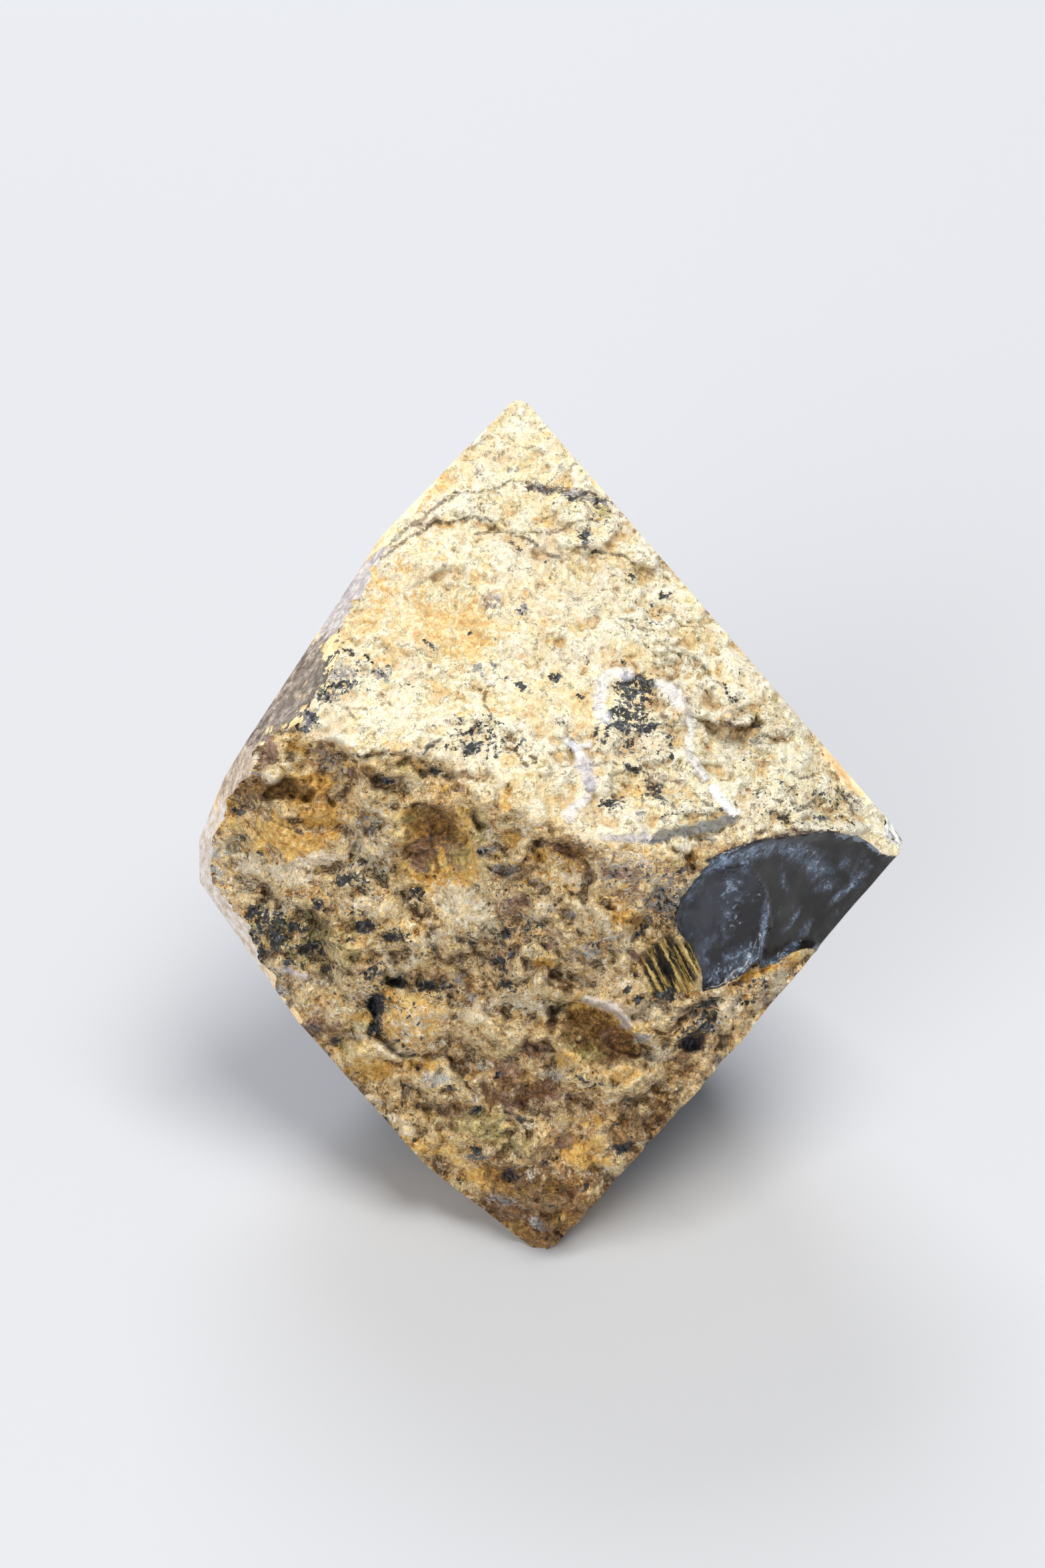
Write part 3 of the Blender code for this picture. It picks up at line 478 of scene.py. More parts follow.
# Reddish brown to mauve.
MAUVE = (
    (-10.6, -2.1, 1.2, 1.5, 0.0, 1.0), (-8.1, -1.8, 1.0, 0.9, 0.0, 0.6), (-4.6, 18.9, 0.9, 0.9, 0.0, 0.5),
    (-8.6, -3.3, 1.6, 0.35, 0.0, 0.6), (-2.6, -22.3, 4.0, 1.3, 4.0, 0.7), (0.4, -23.0, 1.4, 1.0, 0.0, 0.6),
    (-3.6, -20.4, 2.2, 0.9, 15.0, 0.5), (-23.4, 6.4, 0.7, 1.1, -20.0, 0.9),
    (-16.2, 4.8, 0.9, 0.9, -30.0, 0.6), (-15.6, 0.6, 0.6, 1.4, 0.0, 0.5),
    (-19.5, -16.6, 1.2, 0.8, -20.0, 0.8), (-17.9, -16.9, 1.2, 0.6, -20.0, 0.6),
    (-8.0, -24.1, 0.8, 0.4, 0.0, 0.8), (-8.4, -23.4, 0.7, 0.5, 0.0, 0.5),
    (-3.6, -31.6, 1.8, 0.6, -10.0, 0.7), (-1.4, -33.0, 1.6, 0.5, -32.0, 0.8),
    (5.0, -17.2, 2.2, 1.2, -30.0, 0.6), (-1.4, -16.4, 1.6, 0.8, 0.0, 0.4),
    (-1.0, -18.6, 1.8, 0.9, 0.0, 0.5), (4.0, -11.8, 1.8, 1.0, -20.0, 0.35),
    (1.8, -1.9, 1.8, 0.7, -25.0, 0.5), (9.2, -3.9, 1.4, 0.7, 20.0, 0.4), (6.0, -4.0, 3.0, 1.6, 8.0, 0.5),
    (0.4, -6.6, 1.4, 1.0, 0.0, 0.3), (-2.8, -6.4, 1.4, 1.2, 0.0, 0.5), (-0.2, -9.2, 1.8, 1.2, 0.0, 0.4),
    (-6.4, -25.0, 0.9, 0.6, 0.0, 0.3), (1.0, -26.2, 1.2, 0.6, 0.0, 0.4), (6.4, -19.0, 1.4, 0.8, 0.0, 0.4),
    (9.0, -21.0, 2.2, 1.0, 45.0, 0.3), (-19.0, 6.7, 0.8, 0.4, -20.0, 0.8),
    (-12.6, -22.8, 1.4, 0.7, 0.0, 0.2), (9.3, 9.7, 0.5, 0.6, 0.0, 0.5), (-12.0, 9.0, 0.9, 0.8, -30.0, 0.35),
    (17.0, 5.6, 1.4, 0.7, 10.0, 0.35), (9.8, 4.4, 1.8, 0.9, 0.0, 0.3), (11.2, 13.6, 1.4, 0.8, 0.0, 0.3),
    (-6.4, -8.4, 0.6, 0.4, 0.0, 0.3), (-5.6, 3.2, 2.4, 0.8, -12.0, 0.3), (6.4, -11.6, 1.6, 1.2, 40.0, 0.35),
    (-13.0, 7.2, 1.0, 0.5, 0.0, 0.3),
)

# Darker brown, partly earthy stain and partly painted shade in the hollows, under the overhangs and towards
# the lower corner.
UMBER_AND_SHADE = (
    (-0.4, -31.6, 6.0, 4.6, 0.0, 0.85), (8.0, -24.2, 5.0, 2.6, 42.0, 0.62),
    (4.2, -17.4, 3.2, 1.9, -22.0, 1.3), (20.0, -0.3, 4.0, 0.35, -3.0, 0.7), (15.3, 8.4, 1.9, 0.4, 3.0, 0.8),
    (-9.4, -0.2, 2.2, 1.3, 0.0, 0.9), (-2.2, -22.2, 5.0, 1.5, 4.0, 0.6), (11.6, -18.6, 2.6, 2.0, 40.0, 0.6),
    (-20.6, -9.0, 4.6, 2.8, -10.0, 0.28), (-22.6, 3.2, 3.6, 1.1, 3.0, 1.1),
    (-14.4, -21.6, 3.2, 1.4, -30.0, 0.35), (-19.4, -16.6, 1.8, 1.2, -20.0, 0.6),
    (-10.8, -1.8, 1.8, 2.4, 0.0, 0.5), (-9.4, 1.0, 2.2, 1.0, 0.0, 0.9), (-14.2, -14.6, 1.6, 1.8, 0.0, 0.6),
    (2.4, -1.6, 2.4, 0.8, -25.0, 0.9), (-8.6, -12.8, 3.4, 0.9, -5.0, 0.5), (-2.6, -3.6, 1.6, 1.4, 0.0, 0.5),
    (-15.4, 4.6, 3.4, 1.0, -8.0, 0.45), (-10.0, -24.0, 4.4, 1.2, -20.0, 0.35),
    (-2.8, -9.8, 1.8, 3.4, 0.0, 0.25), (0.4, -12.6, 2.6, 0.8, -30.0, 0.6),
    (-16.0, -5.0, 2.4, 2.0, 0.0, 0.15), (11.6, 12.4, 2.6, 2.2, -30.0, 0.3), (9.6, -8.0, 2.0, 2.6, 0.0, 0.4),
    (16.2, 9.6, 1.8, 1.4, -20.0, 0.35), (-17.6, -20.4, 1.6, 1.2, -40.0, 0.4),
)

# Olive and yellow green.
OLIVE = (
    (-19.0, -9.6, 3.2, 2.0, -10.0, 0.6), (-22.6, -8.6, 3.0, 1.8, -15.0, 0.6),
    (-16.8, -10.6, 2.0, 1.2, 0.0, 0.5), (-9.3, -3.6, 2.8, 1.2, 0.0, 0.35),
    (-7.3, -2.0, 0.9, 2.2, 0.0, 0.55), (-5.0, -25.0, 2.4, 1.6, -10.0, 0.8),
    (-2.6, -26.6, 1.2, 0.9, 0.0, 0.6), (-20.4, -7.4, 1.4, 0.8, 0.0, 0.5), (3.0, -18.4, 2.0, 1.4, 0.0, 0.5),
    (-4.0, -18.8, 1.8, 1.0, 0.0, 0.5), (-5.8, -0.2, 0.7, 1.3, 10.0, 0.6),
    (-6.4, -6.8, 2.8, 1.6, -20.0, 0.6), (-26.4, 0.2, 1.4, 1.8, 0.0, 0.3),
    (-17.0, -18.2, 1.6, 1.0, 0.0, 0.4), (-22.0, 4.8, 1.4, 0.8, 0.0, 0.3),
    (-15.6, -16.4, 1.4, 1.2, 0.0, 0.4), (-10.9, 1.4, 1.4, 0.7, 0.0, 0.4), (-9.8, -24.9, 2.0, 1.0, 0.0, 0.3),
    (-23.4, -12.4, 1.2, 1.4, 30.0, 0.4), (4.7, 26.2, 0.9, 0.4, -20.0, 0.7), (-0.4, 4.9, 1.0, 0.8, 0.0, 0.4),
    (13.0, 5.9, 0.3, 0.9, 35.0, 0.7), (17.5, 9.4, 0.6, 0.8, 0.0, 0.5), (1.8, 5.8, 0.6, 0.8, 0.0, 0.4),
    (18.8, 10.8, 0.4, 0.5, 0.0, 0.7), (-12.8, 4.9, 1.4, 0.8, 0.0, 0.4), (-15.8, -8.6, 2.0, 1.2, 0.0, 0.4),
)

# Pale cream to white grains, and two pale patches that are painted glints.
PALE = (
    (-23.0, 4.3, 0.8, 0.65, 0.0, 1.0), (-24.8, 5.5, 0.8, 0.5, 40.0, 0.8), (-19.4, -2.7, 2.4, 0.5, 8.0, 1.1),
    (-21.6, -3.9, 2.2, 0.9, -10.0, 0.8), (-24.8, -3.2, 1.4, 0.9, 0.0, 0.8),
    (-25.4, -4.9, 1.6, 1.0, 0.0, 0.6), (-26.6, -1.8, 1.0, 1.4, 0.0, 0.5),
    (-22.4, -7.0, 1.6, 0.5, 10.0, 0.7), (-13.5, -10.9, 0.4, 0.5, 0.0, 1.0),
    (-13.2, -11.6, 0.4, 0.5, 0.0, 1.0), (-12.7, -12.2, 0.6, 0.4, 0.0, 1.0),
    (-11.6, -11.2, 0.9, 0.9, 0.0, 0.5), (-10.4, -9.6, 1.4, 0.5, 0.0, 0.7),
    (-7.0, -6.6, 2.8, 1.6, -30.0, 0.95), (-15.0, -1.6, 2.6, 1.6, -10.0, 0.6),
    (-15.2, -3.8, 2.2, 1.4, 0.0, 0.5), (-11.4, -16.6, 2.6, 2.4, 0.0, 0.46),
    # The patch at (-12.2, 20.0) paints the white glints of the upper left: a painted highlight.
    (-12.2, 20.0, 2.0, 3.8, -35.0, 0.45), (-8.8, -8.9, 1.8, 0.6, 0.0, 0.5),
    (-19.6, -13.0, 2.0, 0.6, 0.0, 0.6), (-13.0, -18.6, 1.8, 0.6, -12.0, 0.8),
    (-9.6, -18.2, 1.2, 0.5, 20.0, 0.6), (-11.6, -25.3, 1.0, 0.5, -10.0, 0.8),
    (-10.0, -21.2, 1.6, 0.6, 5.0, 0.5), (-6.4, -15.6, 1.8, 1.0, 0.0, 0.6),
    (-1.8, -14.8, 2.6, 0.8, -10.0, 0.7), (-3.4, -17.1, 0.35, 0.3, 0.0, 1.0),
    (-5.4, -19.8, 1.4, 0.5, 0.0, 0.5), (1.4, -4.0, 1.4, 0.7, -5.0, 0.6), (-0.4, -6.8, 1.2, 0.8, 20.0, 0.6),
    (3.4, -6.8, 1.8, 0.5, -35.0, 0.7), (4.8, -8.4, 0.4, 1.2, 10.0, 0.7), (4.6, -9.3, 1.2, 0.3, 15.0, 0.6),
    (6.0, -2.4, 2.4, 1.0, 5.0, 0.55), (7.6, -15.2, 1.2, 0.8, 0.0, 0.8), (6.2, -12.8, 0.9, 0.8, 0.0, 0.5),
    (15.0, -15.0, 1.6, 1.0, 30.0, 0.7), (18.8, -12.8, 1.4, 0.8, 30.0, 0.6),
    (9.0, -19.0, 1.6, 0.9, 30.0, 0.6), (14.0, -13.4, 1.2, 0.5, 30.0, 0.5), (2.2, -28.8, 1.8, 0.2, 3.0, 0.5),
    (-1.2, -28.8, 1.0, 0.7, 0.0, 0.5), (4.8, -22.6, 1.0, 0.4, 0.0, 0.5),
    (-0.9, -12.6, 0.55, 0.45, 0.0, 0.9), (0.5, -13.8, 0.5, 0.4, 0.0, 0.8), (-2.7, -2.5, 0.5, 0.5, 0.0, 0.9),
    # The spot at (-16.8, 13.8) paints silvery glints beside the smoky edge: a painted highlight.
    (-14.8, -2.0, 1.4, 0.9, 0.0, 0.6), (-16.8, 13.8, 1.4, 0.8, -30.0, 0.7),
    (-20.6, 8.7, 0.9, 0.4, -40.0, 0.6), (-15.0, -6.4, 2.2, 0.9, 0.0, 0.55),
    (-12.6, 2.0, 1.8, 0.6, 0.0, 0.4), (-1.8, 1.0, 1.2, 1.4, 20.0, 0.6), (-5.0, -0.6, 0.35, 0.9, 10.0, 0.7),
    (-15.6, -14.0, 1.2, 0.6, 0.0, 0.4), (-14.3, -22.8, 0.8, 0.5, -40.0, 0.7),
    (-12.6, -24.4, 0.9, 0.5, -40.0, 0.5), (-15.5, -17.1, 0.8, 0.7, 0.0, 0.6),
    (-8.4, -26.2, 1.6, 0.4, 0.0, 0.3), (0.2, -20.6, 1.4, 0.6, 0.0, 0.5), (1.2, -24.9, 0.8, 0.5, 0.0, 0.5),
    (3.2, -0.6, 0.9, 0.6, 0.0, 1.0), (25.4, -0.6, 1.4, 0.4, -10.0, 0.9), (27.6, -1.8, 1.2, 0.5, -25.0, 0.9),
    (15.0, -4.9, 0.9, 1.2, 0.0, 0.42), (15.4, -7.6, 1.1, 1.5, 20.0, 0.36), (16.9, -5.9, 0.7, 0.5, 0.0, 0.3),
    (18.3, -6.8, 0.12, 1.3, -4.0, 0.6), (17.95, -9.2, 0.12, 1.5, -16.0, 0.6),
)

# Glassy grey to blue-grey opal and chalcedony grains.
GLASSY = (
    (9.8, -5.6, 2.4, 1.6, 45.0, 0.6), (6.2, -3.8, 3.4, 1.8, 8.0, 0.36), (-14.9, 0.2, 1.4, 1.2, 0.0, 0.45),
    (-5.2, -1.9, 0.8, 0.5, 0.0, 0.7), (-3.8, -3.4, 1.2, 0.9, 0.0, 0.5), (-0.9, -4.5, 0.7, 0.4, 0.0, 0.7),
    (3.2, -10.3, 1.2, 0.5, 0.0, 0.7), (1.8, -7.2, 0.5, 0.5, 0.0, 0.6), (5.6, -9.1, 0.8, 0.3, 20.0, 0.6),
    (-9.2, -21.0, 1.6, 0.7, 5.0, 0.6), (-5.7, -27.5, 1.0, 0.25, -5.0, 0.9),
    (-3.6, -31.2, 1.8, 0.4, -5.0, 0.5), (-1.0, -33.1, 1.2, 0.35, -35.0, 0.8),
    (-23.2, -13.4, 1.2, 2.6, 32.0, 0.5), (-28.0, -3.0, 1.2, 3.0, 10.0, 0.6),
    (-24.8, 4.6, 0.9, 0.25, -8.0, 0.8), (-18.4, 5.6, 1.8, 0.5, -30.0, 0.5),
    (7.7, -17.4, 0.7, 0.35, -45.0, 0.9), (13.2, -16.6, 1.0, 0.6, 0.0, 0.8),
    (0.8, -20.7, 0.8, 0.4, 0.0, 0.6), (7.8, -0.9, 2.2, 0.35, 0.0, 0.6), (13.2, -0.8, 2.0, 0.3, 20.0, 0.5),
    (5.4, -3.5, 0.8, 0.4, 10.0, 0.4), (8.6, -2.6, 1.4, 0.5, 10.0, 0.4), (-6.5, -14.2, 0.5, 0.6, 0.0, 0.7),
    (-7.5, -12.6, 0.6, 0.6, 0.0, 0.6), (-4.3, 19.3, 0.5, 0.5, 0.0, 0.6), (-4.6, 18.6, 0.7, 0.2, 0.0, 0.5),
    (-2.8, 29.75, 0.6, 0.22, 15.0, 0.8), (-5.6, 29.4, 0.4, 0.25, 0.0, 0.6),
    (1.9, 27.7, 0.8, 0.32, -8.0, 1.0), (-0.6, 28.25, 1.6, 0.3, -12.0, 0.9),
    (3.4, 27.5, 2.0, 0.4, -24.0, 0.7), (-5.9, 13.2, 0.8, 0.28, -50.0, 0.9),
    (-5.2, 12.6, 0.8, 0.24, -50.0, 0.7), (-4.8, 13.6, 0.6, 0.2, -50.0, 0.8),
    (-6.7, 8.3, 1.1, 0.25, 3.0, 0.7), (-6.4, 6.8, 1.2, 0.3, 0.0, 0.6), (17.2, 7.0, 0.8, 0.4, 0.0, 0.5),
    (22.8, 0.7, 0.6, 0.3, -30.0, 0.6), (-14.0, 12.9, 0.9, 0.7, 0.0, 0.6), (-17.2, 13.0, 1.8, 0.9, 0.0, 0.6),
    (-20.2, 9.1, 1.1, 0.6, -45.0, 0.8), (-18.6, 11.2, 1.3, 0.8, 15.0, 0.6), (2.9, 5.3, 0.7, 0.6, 0.0, 0.6),
    (3.4, 3.9, 0.45, 0.9, 0.0, 0.8), (-4.2, 15.75, 0.3, 0.16, 0.0, 1.0), (-7.0, 12.0, 0.5, 0.3, 0.0, 0.4),
    (6.5, 6.4, 1.8, 0.6, -15.0, 0.4), (7.6, 1.3, 0.4, 0.4, 0.0, 0.7), (9.7, 0.8, 0.3, 0.3, 0.0, 0.7),
    (2.0, 7.0, 0.8, 0.35, -40.0, 0.9), (-10.2, 6.7, 0.7, 0.3, 20.0, 0.8), (-2.2, 18.2, 0.4, 0.6, 20.0, 0.7),
    (23.9, -0.5, 1.2, 0.35, -15.0, 0.7), (21.2, -0.2, 1.2, 0.2, 0.0, 0.4), (3.3, 24.3, 0.5, 0.4, 0.0, 0.7),
)

# Raised rims of chalcedony, grey to white: half width, whiteness and line.
RIMS = (
    (0.38, 0.66, (
        (6.6, 12.9), (5.6, 12.95), (4.8, 12.6), (4.35, 11.9), (4.15, 10.9), (4.2, 10.0), (4.6, 9.3),
    )),
    (0.38, 0.76, ((9.4, 11.95), (10.1, 11.6), (10.6, 11.0), (11.0, 10.2))),
    (0.12, 0.7, ((11.1, 10.2), (11.55, 9.4), (11.75, 8.6), (11.7, 7.6), (11.65, 6.6))),
    (0.2, 0.55, ((11.6, 6.2), (12.1, 5.5), (12.6, 4.8), (12.95, 4.3))),
    (0.24, 0.9, ((13.6, 3.3), (14.2, 2.6), (14.8, 1.9), (15.4, 1.3))),
    (0.3, 0.1, (
        (15.3, 1.0), (14.2, 0.45), (12.8, 0.1), (11.4, -0.15), (10.2, -0.25), (9.3, -0.55), (8.6, -0.85),
    )),
    (0.1, 0.4, ((8.6, -0.8), (7.6, -0.5), (6.6, -0.6), (5.4, -0.7), (4.4, -0.55))),
    (0.16, 0.8, ((1.4, 7.4), (2.1, 6.9), (2.4, 6.3))),
    (0.08, 0.8, ((2.4, 6.8), (3.3, 7.1))),
    (0.42, 0.45, ((2.6, 5.8), (3.1, 4.8), (3.3, 3.8))),
    (0.34, 0.55, ((3.0, 2.7), (2.3, 1.9), (1.6, 1.2))),
    (0.24, 0.6, ((3.2, -14.2), (4.4, -14.6), (5.4, -14.9), (6.1, -15.6), (6.5, -16.4))),
    (0.06, 0.55, ((-22.0, -11.9), (-21.2, -12.2), (-20.2, -12.5))),
)

# Blue haze and white wisps in the dark opal, partly the opal's own colour and partly a painted reflection of
# the light on its glassy surface.
HAZE_AND_SHEEN = (
    (14.4, -2.6, 2.2, 0.6, 24.0, 1.0), (17.2, -1.9, 2.4, 0.6, 14.0, 1.0), (16.4, -2.7, 0.9, 0.7, 60.0, 0.9),
    (11.8, -4.9, 1.3, 0.8, 50.0, 0.75), (15.0, -4.4, 1.2, 0.6, 0.0, 0.4), (15.0, -6.4, 0.8, 2.6, -8.0, 0.4),
    (17.9, -8.0, 0.3, 2.6, -6.0, 0.75), (16.0, -11.0, 1.8, 1.2, 40.0, 0.75),
    (13.6, -12.4, 1.4, 0.7, 45.0, 0.7), (20.4, -1.8, 2.4, 0.8, -12.0, 0.7),
    (22.4, -3.4, 2.6, 0.8, -28.0, 0.65), (25.0, -5.0, 2.2, 0.35, 42.0, 0.85),
    (23.2, -4.8, 1.2, 0.4, 20.0, 0.7), (25.2, -3.2, 1.4, 1.2, -40.0, 0.4),
    (21.2, -8.8, 1.3, 0.35, 60.0, 0.8), (19.4, -10.6, 1.8, 0.35, 38.0, 0.9),
    (18.0, -11.3, 0.6, 0.4, 0.0, 0.6), (19.6, -4.2, 0.3, 1.2, 10.0, 0.4), (13.2, -9.6, 1.0, 0.7, 40.0, 0.5),
    (20.4, -7.6, 0.2, 1.4, -35.0, 0.6), (12.6, -11.0, 0.7, 0.6, 0.0, 0.7),
)

# Places where the crust is smoother than elsewhere.
CALM = (
    (-21.4, -0.8, 4.2, 1.8, -14.0, 0.8), (-11.6, -16.5, 2.8, 2.7, 0.0, 0.6),
    (1.2, -3.6, 1.9, 1.4, -10.0, 0.8), (-9.3, -1.6, 2.8, 3.0, 0.0, 0.6), (13.8, 7.2, 2.4, 1.0, -20.0, 0.7),
    (6.4, -3.4, 4.4, 2.4, 8.0, 0.8), (-2.8, -33.6, 3.0, 1.4, -32.0, 0.8), (-27.6, -3.0, 1.4, 4.0, 8.0, 0.8),
    (-24.0, -13.6, 1.6, 4.4, 32.0, 0.7), (-12.0, 9.6, 3.4, 2.0, -10.0, 0.6),
    (4.6, -17.0, 2.6, 1.6, -30.0, 0.4), (6.6, -12.4, 2.0, 1.4, 40.0, 0.4),
    (-4.4, -29.6, 2.6, 1.2, -15.0, 0.5), (2.4, -27.0, 2.2, 1.2, -10.0, 0.5),
    (-10.6, 17.0, 4.0, 3.0, 0.0, 0.45), (-3.0, 31.0, 3.0, 4.0, 0.0, 0.5), (-1.0, 19.0, 3.0, 3.0, 0.0, 0.3),
    (-5.4, 13.2, 1.4, 0.9, -50.0, 0.6), (-13.0, 24.0, 3.0, 3.0, 50.0, 0.5), (7.6, 10.4, 3.0, 2.0, 0.0, 0.3),
)

# The marks above that follow the crust's torn grain, by name.
STAINS = (
    ("rust", RUST), ("mauve", MAUVE), ("olive", OLIVE), ("pale", PALE), ("glassy", GLASSY), ("umber", UMBER_AND_SHADE),
)

# The values that the crust's points carry for its material.
MARKS = (
    "upper", "opal", "lens", "rim", "rim_tone", "fibrous", "thread", "thread_tone", "black", "rust", "mauve",
    "olive", "pale", "glassy", "umber", "haze", "hollow",
)

# The fibrous olive and black inclusion: middle, half width, half height and turn of its outline, then
# how its strands are turned, how long they are and how far apart.
FIBRES = (10.1, -11.5, 2.5, 2.5, 20.0)
FIBRE_TURN = -62.0
FIBRE_LENGTH = 5.0
FIBRE_STEP = 0.36

# Stretches of the polished edge with a tone of their own: middle, how far from it they start to fade
# and where they end, in millimetres, and the colours from their darkest to their lightest grain.
# First the tan one near the top, then the beige, the lilac-grey and the smoky one at the upper left,
# the milky one at the lower left and the blue-grey one at the tip.
STRETCHES = (
    ((-10.6, 26.6, -1.0), 2.5, 8.0, (
        (0.15, "#cdb88c"), (0.4, "#dcc8a2"), (0.65, "#e4d5b6"), (0.88, "#e8dfca"),
    )),
    ((-26.2, 5.4, 0.0), 1.6, 6.4, (
        (0.12, "#6a5846"), (0.35, "#917c66"), (0.55, "#ab9780"), (0.75, "#baab9b"), (0.92, "#d6c8ae"),
    )),
    ((-17.0, 18.8, -1.0), 1.6, 7.0, (
        (0.15, "#858084"), (0.4, "#9d989c"), (0.65, "#b7b2b6"), (0.88, "#d2c8b8"),
    )),
    ((-21.2, 11.3, 0.5), 2.6, 7.8, (
        (0.12, "#3b332b"), (0.35, "#574d44"), (0.55, "#73685f"), (0.75, "#8b817a"), (0.92, "#b3a590"),
    )),
    ((-27.0, -6.0, -4.0), 3.0, 11.0, (
        (0.15, "#9b8c7c"), (0.4, "#b3a596"), (0.6, "#beb6b3"), (0.85, "#cdc9c9"),
    )),
    ((28.2, -1.5, 0.0), 1.6, 3.2, (
        (0.15, "#5a6069"), (0.4, "#9a9fa6"), (0.6, "#d6d6d2"), (0.85, "#efece2"),
    )),
)

# Outlines of the dark opal windows under the right half of the ridge.
OPAL_LENS = (
    (13.2, -2.9), (15.0, -3.1), (16.2, -2.5), (17.1, -3.6), (17.9, -4.9), (18.3, -6.2), (18.4, -7.8),
    (18.1, -9.3), (17.5, -10.8), (16.4, -12.0), (14.6, -13.1), (12.8, -13.6), (12.6, -11.6), (11.8, -9.8),
    (10.8, -8.6), (10.4, -7.6), (10.9, -5.9), (11.9, -4.4),
)
OPAL_WINDOW = (
    (13.0, -2.7), (13.9, -2.0), (15.2, -1.55), (16.5, -1.15), (18.0, -0.85), (20.0, -0.5), (22.0, -0.3),
    (23.6, -0.3), (24.6, -0.5), (25.8, -0.7), (26.8, -1.3), (27.8, -2.2), (29.5, -2.6), (31.0, -6.0),
    (24.0, -11.6), (21.9, -10.0), (20.4, -10.3), (19.2, -11.1), (17.6, -11.7), (17.0, -8.0), (16.0, -4.0),
)

# Shell-shaped hollows in each: middle, half widths, turn, depth and how far out they reach.
LENS_BOWLS = (
    (15.6, -7.4, 4.6, 6.4, 12.0, 1.9, 1.0), (11.8, -6.8, 2.6, 3.4, -20.0, 1.1, 1.0),
)
WINDOW_BOWLS = (
    (21.2, -6.6, 5.4, 6.4, 20.0, 1.7, 1.4), (25.6, -2.6, 4.2, 3.2, 30.0, 1.0, 1.0),
)


def hex_colour(text, alpha=1.0):
    """Linear colour of an sRGB hex value."""
    parts = [int(text[start:start + 2], 16) / 255.0 for start in (1, 3, 5)]
    return tuple(c / 12.92 if c <= 0.04045 else ((c + 0.055) / 1.055) ** 2.4 for c in parts) + (alpha,)


def lift(across, up, depth):
    """World position, in metres, of a point of the front seen at across and up at a given depth."""
    shrink = 1.0 - depth / EYE_DISTANCE
    place = ACROSS * across * shrink + UP_THE_FRONT * up * shrink + TOWARDS_EYE * depth + MIDDLE
    return place * MM


def lift_all(across, up, depth):
    """As lift, for whole arrays: returns one row per point, in metres."""
    shrink = 1.0 - depth / EYE_DISTANCE
    place = np.outer(across * shrink, ACROSS) + np.outer(up * shrink, UP_THE_FRONT)
    place += np.outer(depth, TOWARDS_EYE) + np.array(MIDDLE)
    return place * MM


def scramble(column, row, salt):
    """A fixed pseudo-random number from 0 to 1 for each whole-number cell."""
    mixed = (column.astype(np.int64) * 374761393 + row.astype(np.int64) * 668265263 + salt * 974634777)
    mixed = (mixed ^ (mixed >> 13)) * 1274126177 & 0xFFFFFFFF
    mixed = (mixed ^ (mixed >> 16)) * 2246822519 & 0xFFFFFFFF
    return (mixed ^ (mixed >> 15)) % 65536 / 65535.0


def swell(x, y, size, salt):
    """Smooth noise from about -1 to 1, with hills of one size in millimetres."""
    u = x / size
    v = y / size
    column = np.floor(u)
    row = np.floor(v)
    across = u - column
    up = v - row
    ease_u = across ** 3 * (across * (across * 6.0 - 15.0) + 10.0)
    ease_v = up ** 3 * (up * (up * 6.0 - 15.0) + 10.0)
    corners = []
    for right in (0, 1):
        for top in (0, 1):
            angle = scramble(column + right, row + top, salt) * 2.0 * math.pi
            corners.append(np.cos(angle) * (across - right) + np.sin(angle) * (up - top))
    left = corners[0] + (corners[1] - corners[0]) * ease_v
    right = corners[2] + (corners[3] - corners[2]) * ease_v
    return (left + (right - left) * ease_u) * 1.5


def rubble(x, y, size, salt, octaves=4, keep=0.5):
    """Smooth noise with finer and fainter layers added."""
    total = np.zeros_like(x)
    strength = 1.0
    for octave in range(octaves):
        total += strength * swell(x + 17.3 * octave, y - 9.1 * octave, size / 2.0 ** octave, salt + octave)
        strength *= keep
    return total


def billows(x, y, size, salt, octaves=2, keep=0.5):
    """Rounded lumps with sharp creases between them, the finer ones riding on the coarser."""
    total = np.zeros_like(x)
    strength = 1.0
    for octave in range(octaves):
        lump = np.abs(swell(x + 11.7 * octave, y + 5.9 * octave, size / 2.0 ** octave, salt + octave))
        total += strength * (2.4 * lump - 0.75)
        strength *= keep
    return total


def torn(x, y, amount, size, salts, octaves, keep=0.6):
    """Both coordinates shifted by noise, which makes a smooth outline ragged."""
    return [part + amount * rubble(x, y, size, salt, octaves, keep) for part, salt in zip((x, y), salts)]


def turned(x, y, turn):
    """Coordinates along and across a direction that is given in degrees."""
    angle = math.radians(turn)
    return x * math.cos(angle) + y * math.sin(angle), y * math.cos(angle) - x * math.sin(angle)


def pits(x, y, size, salt, low=0.25, high=0.55):
    """Scattered hollows with steep sides: 1 inside them and 0 elsewhere."""
    bent_x = x + 0.15 * size * rubble(x, y, size * 0.5, salt + 61, 2)
    return ease(low, high, rubble(bent_x, y, size, salt, 2, 0.4))


def terraces(height, step, riser):
    """Turns a smooth height into flat treads joined by steep risers."""
    level = height / step
    tread = np.floor(level)
    return (tread + ease(1.0 - riser, 1.0, level - tread)) * step


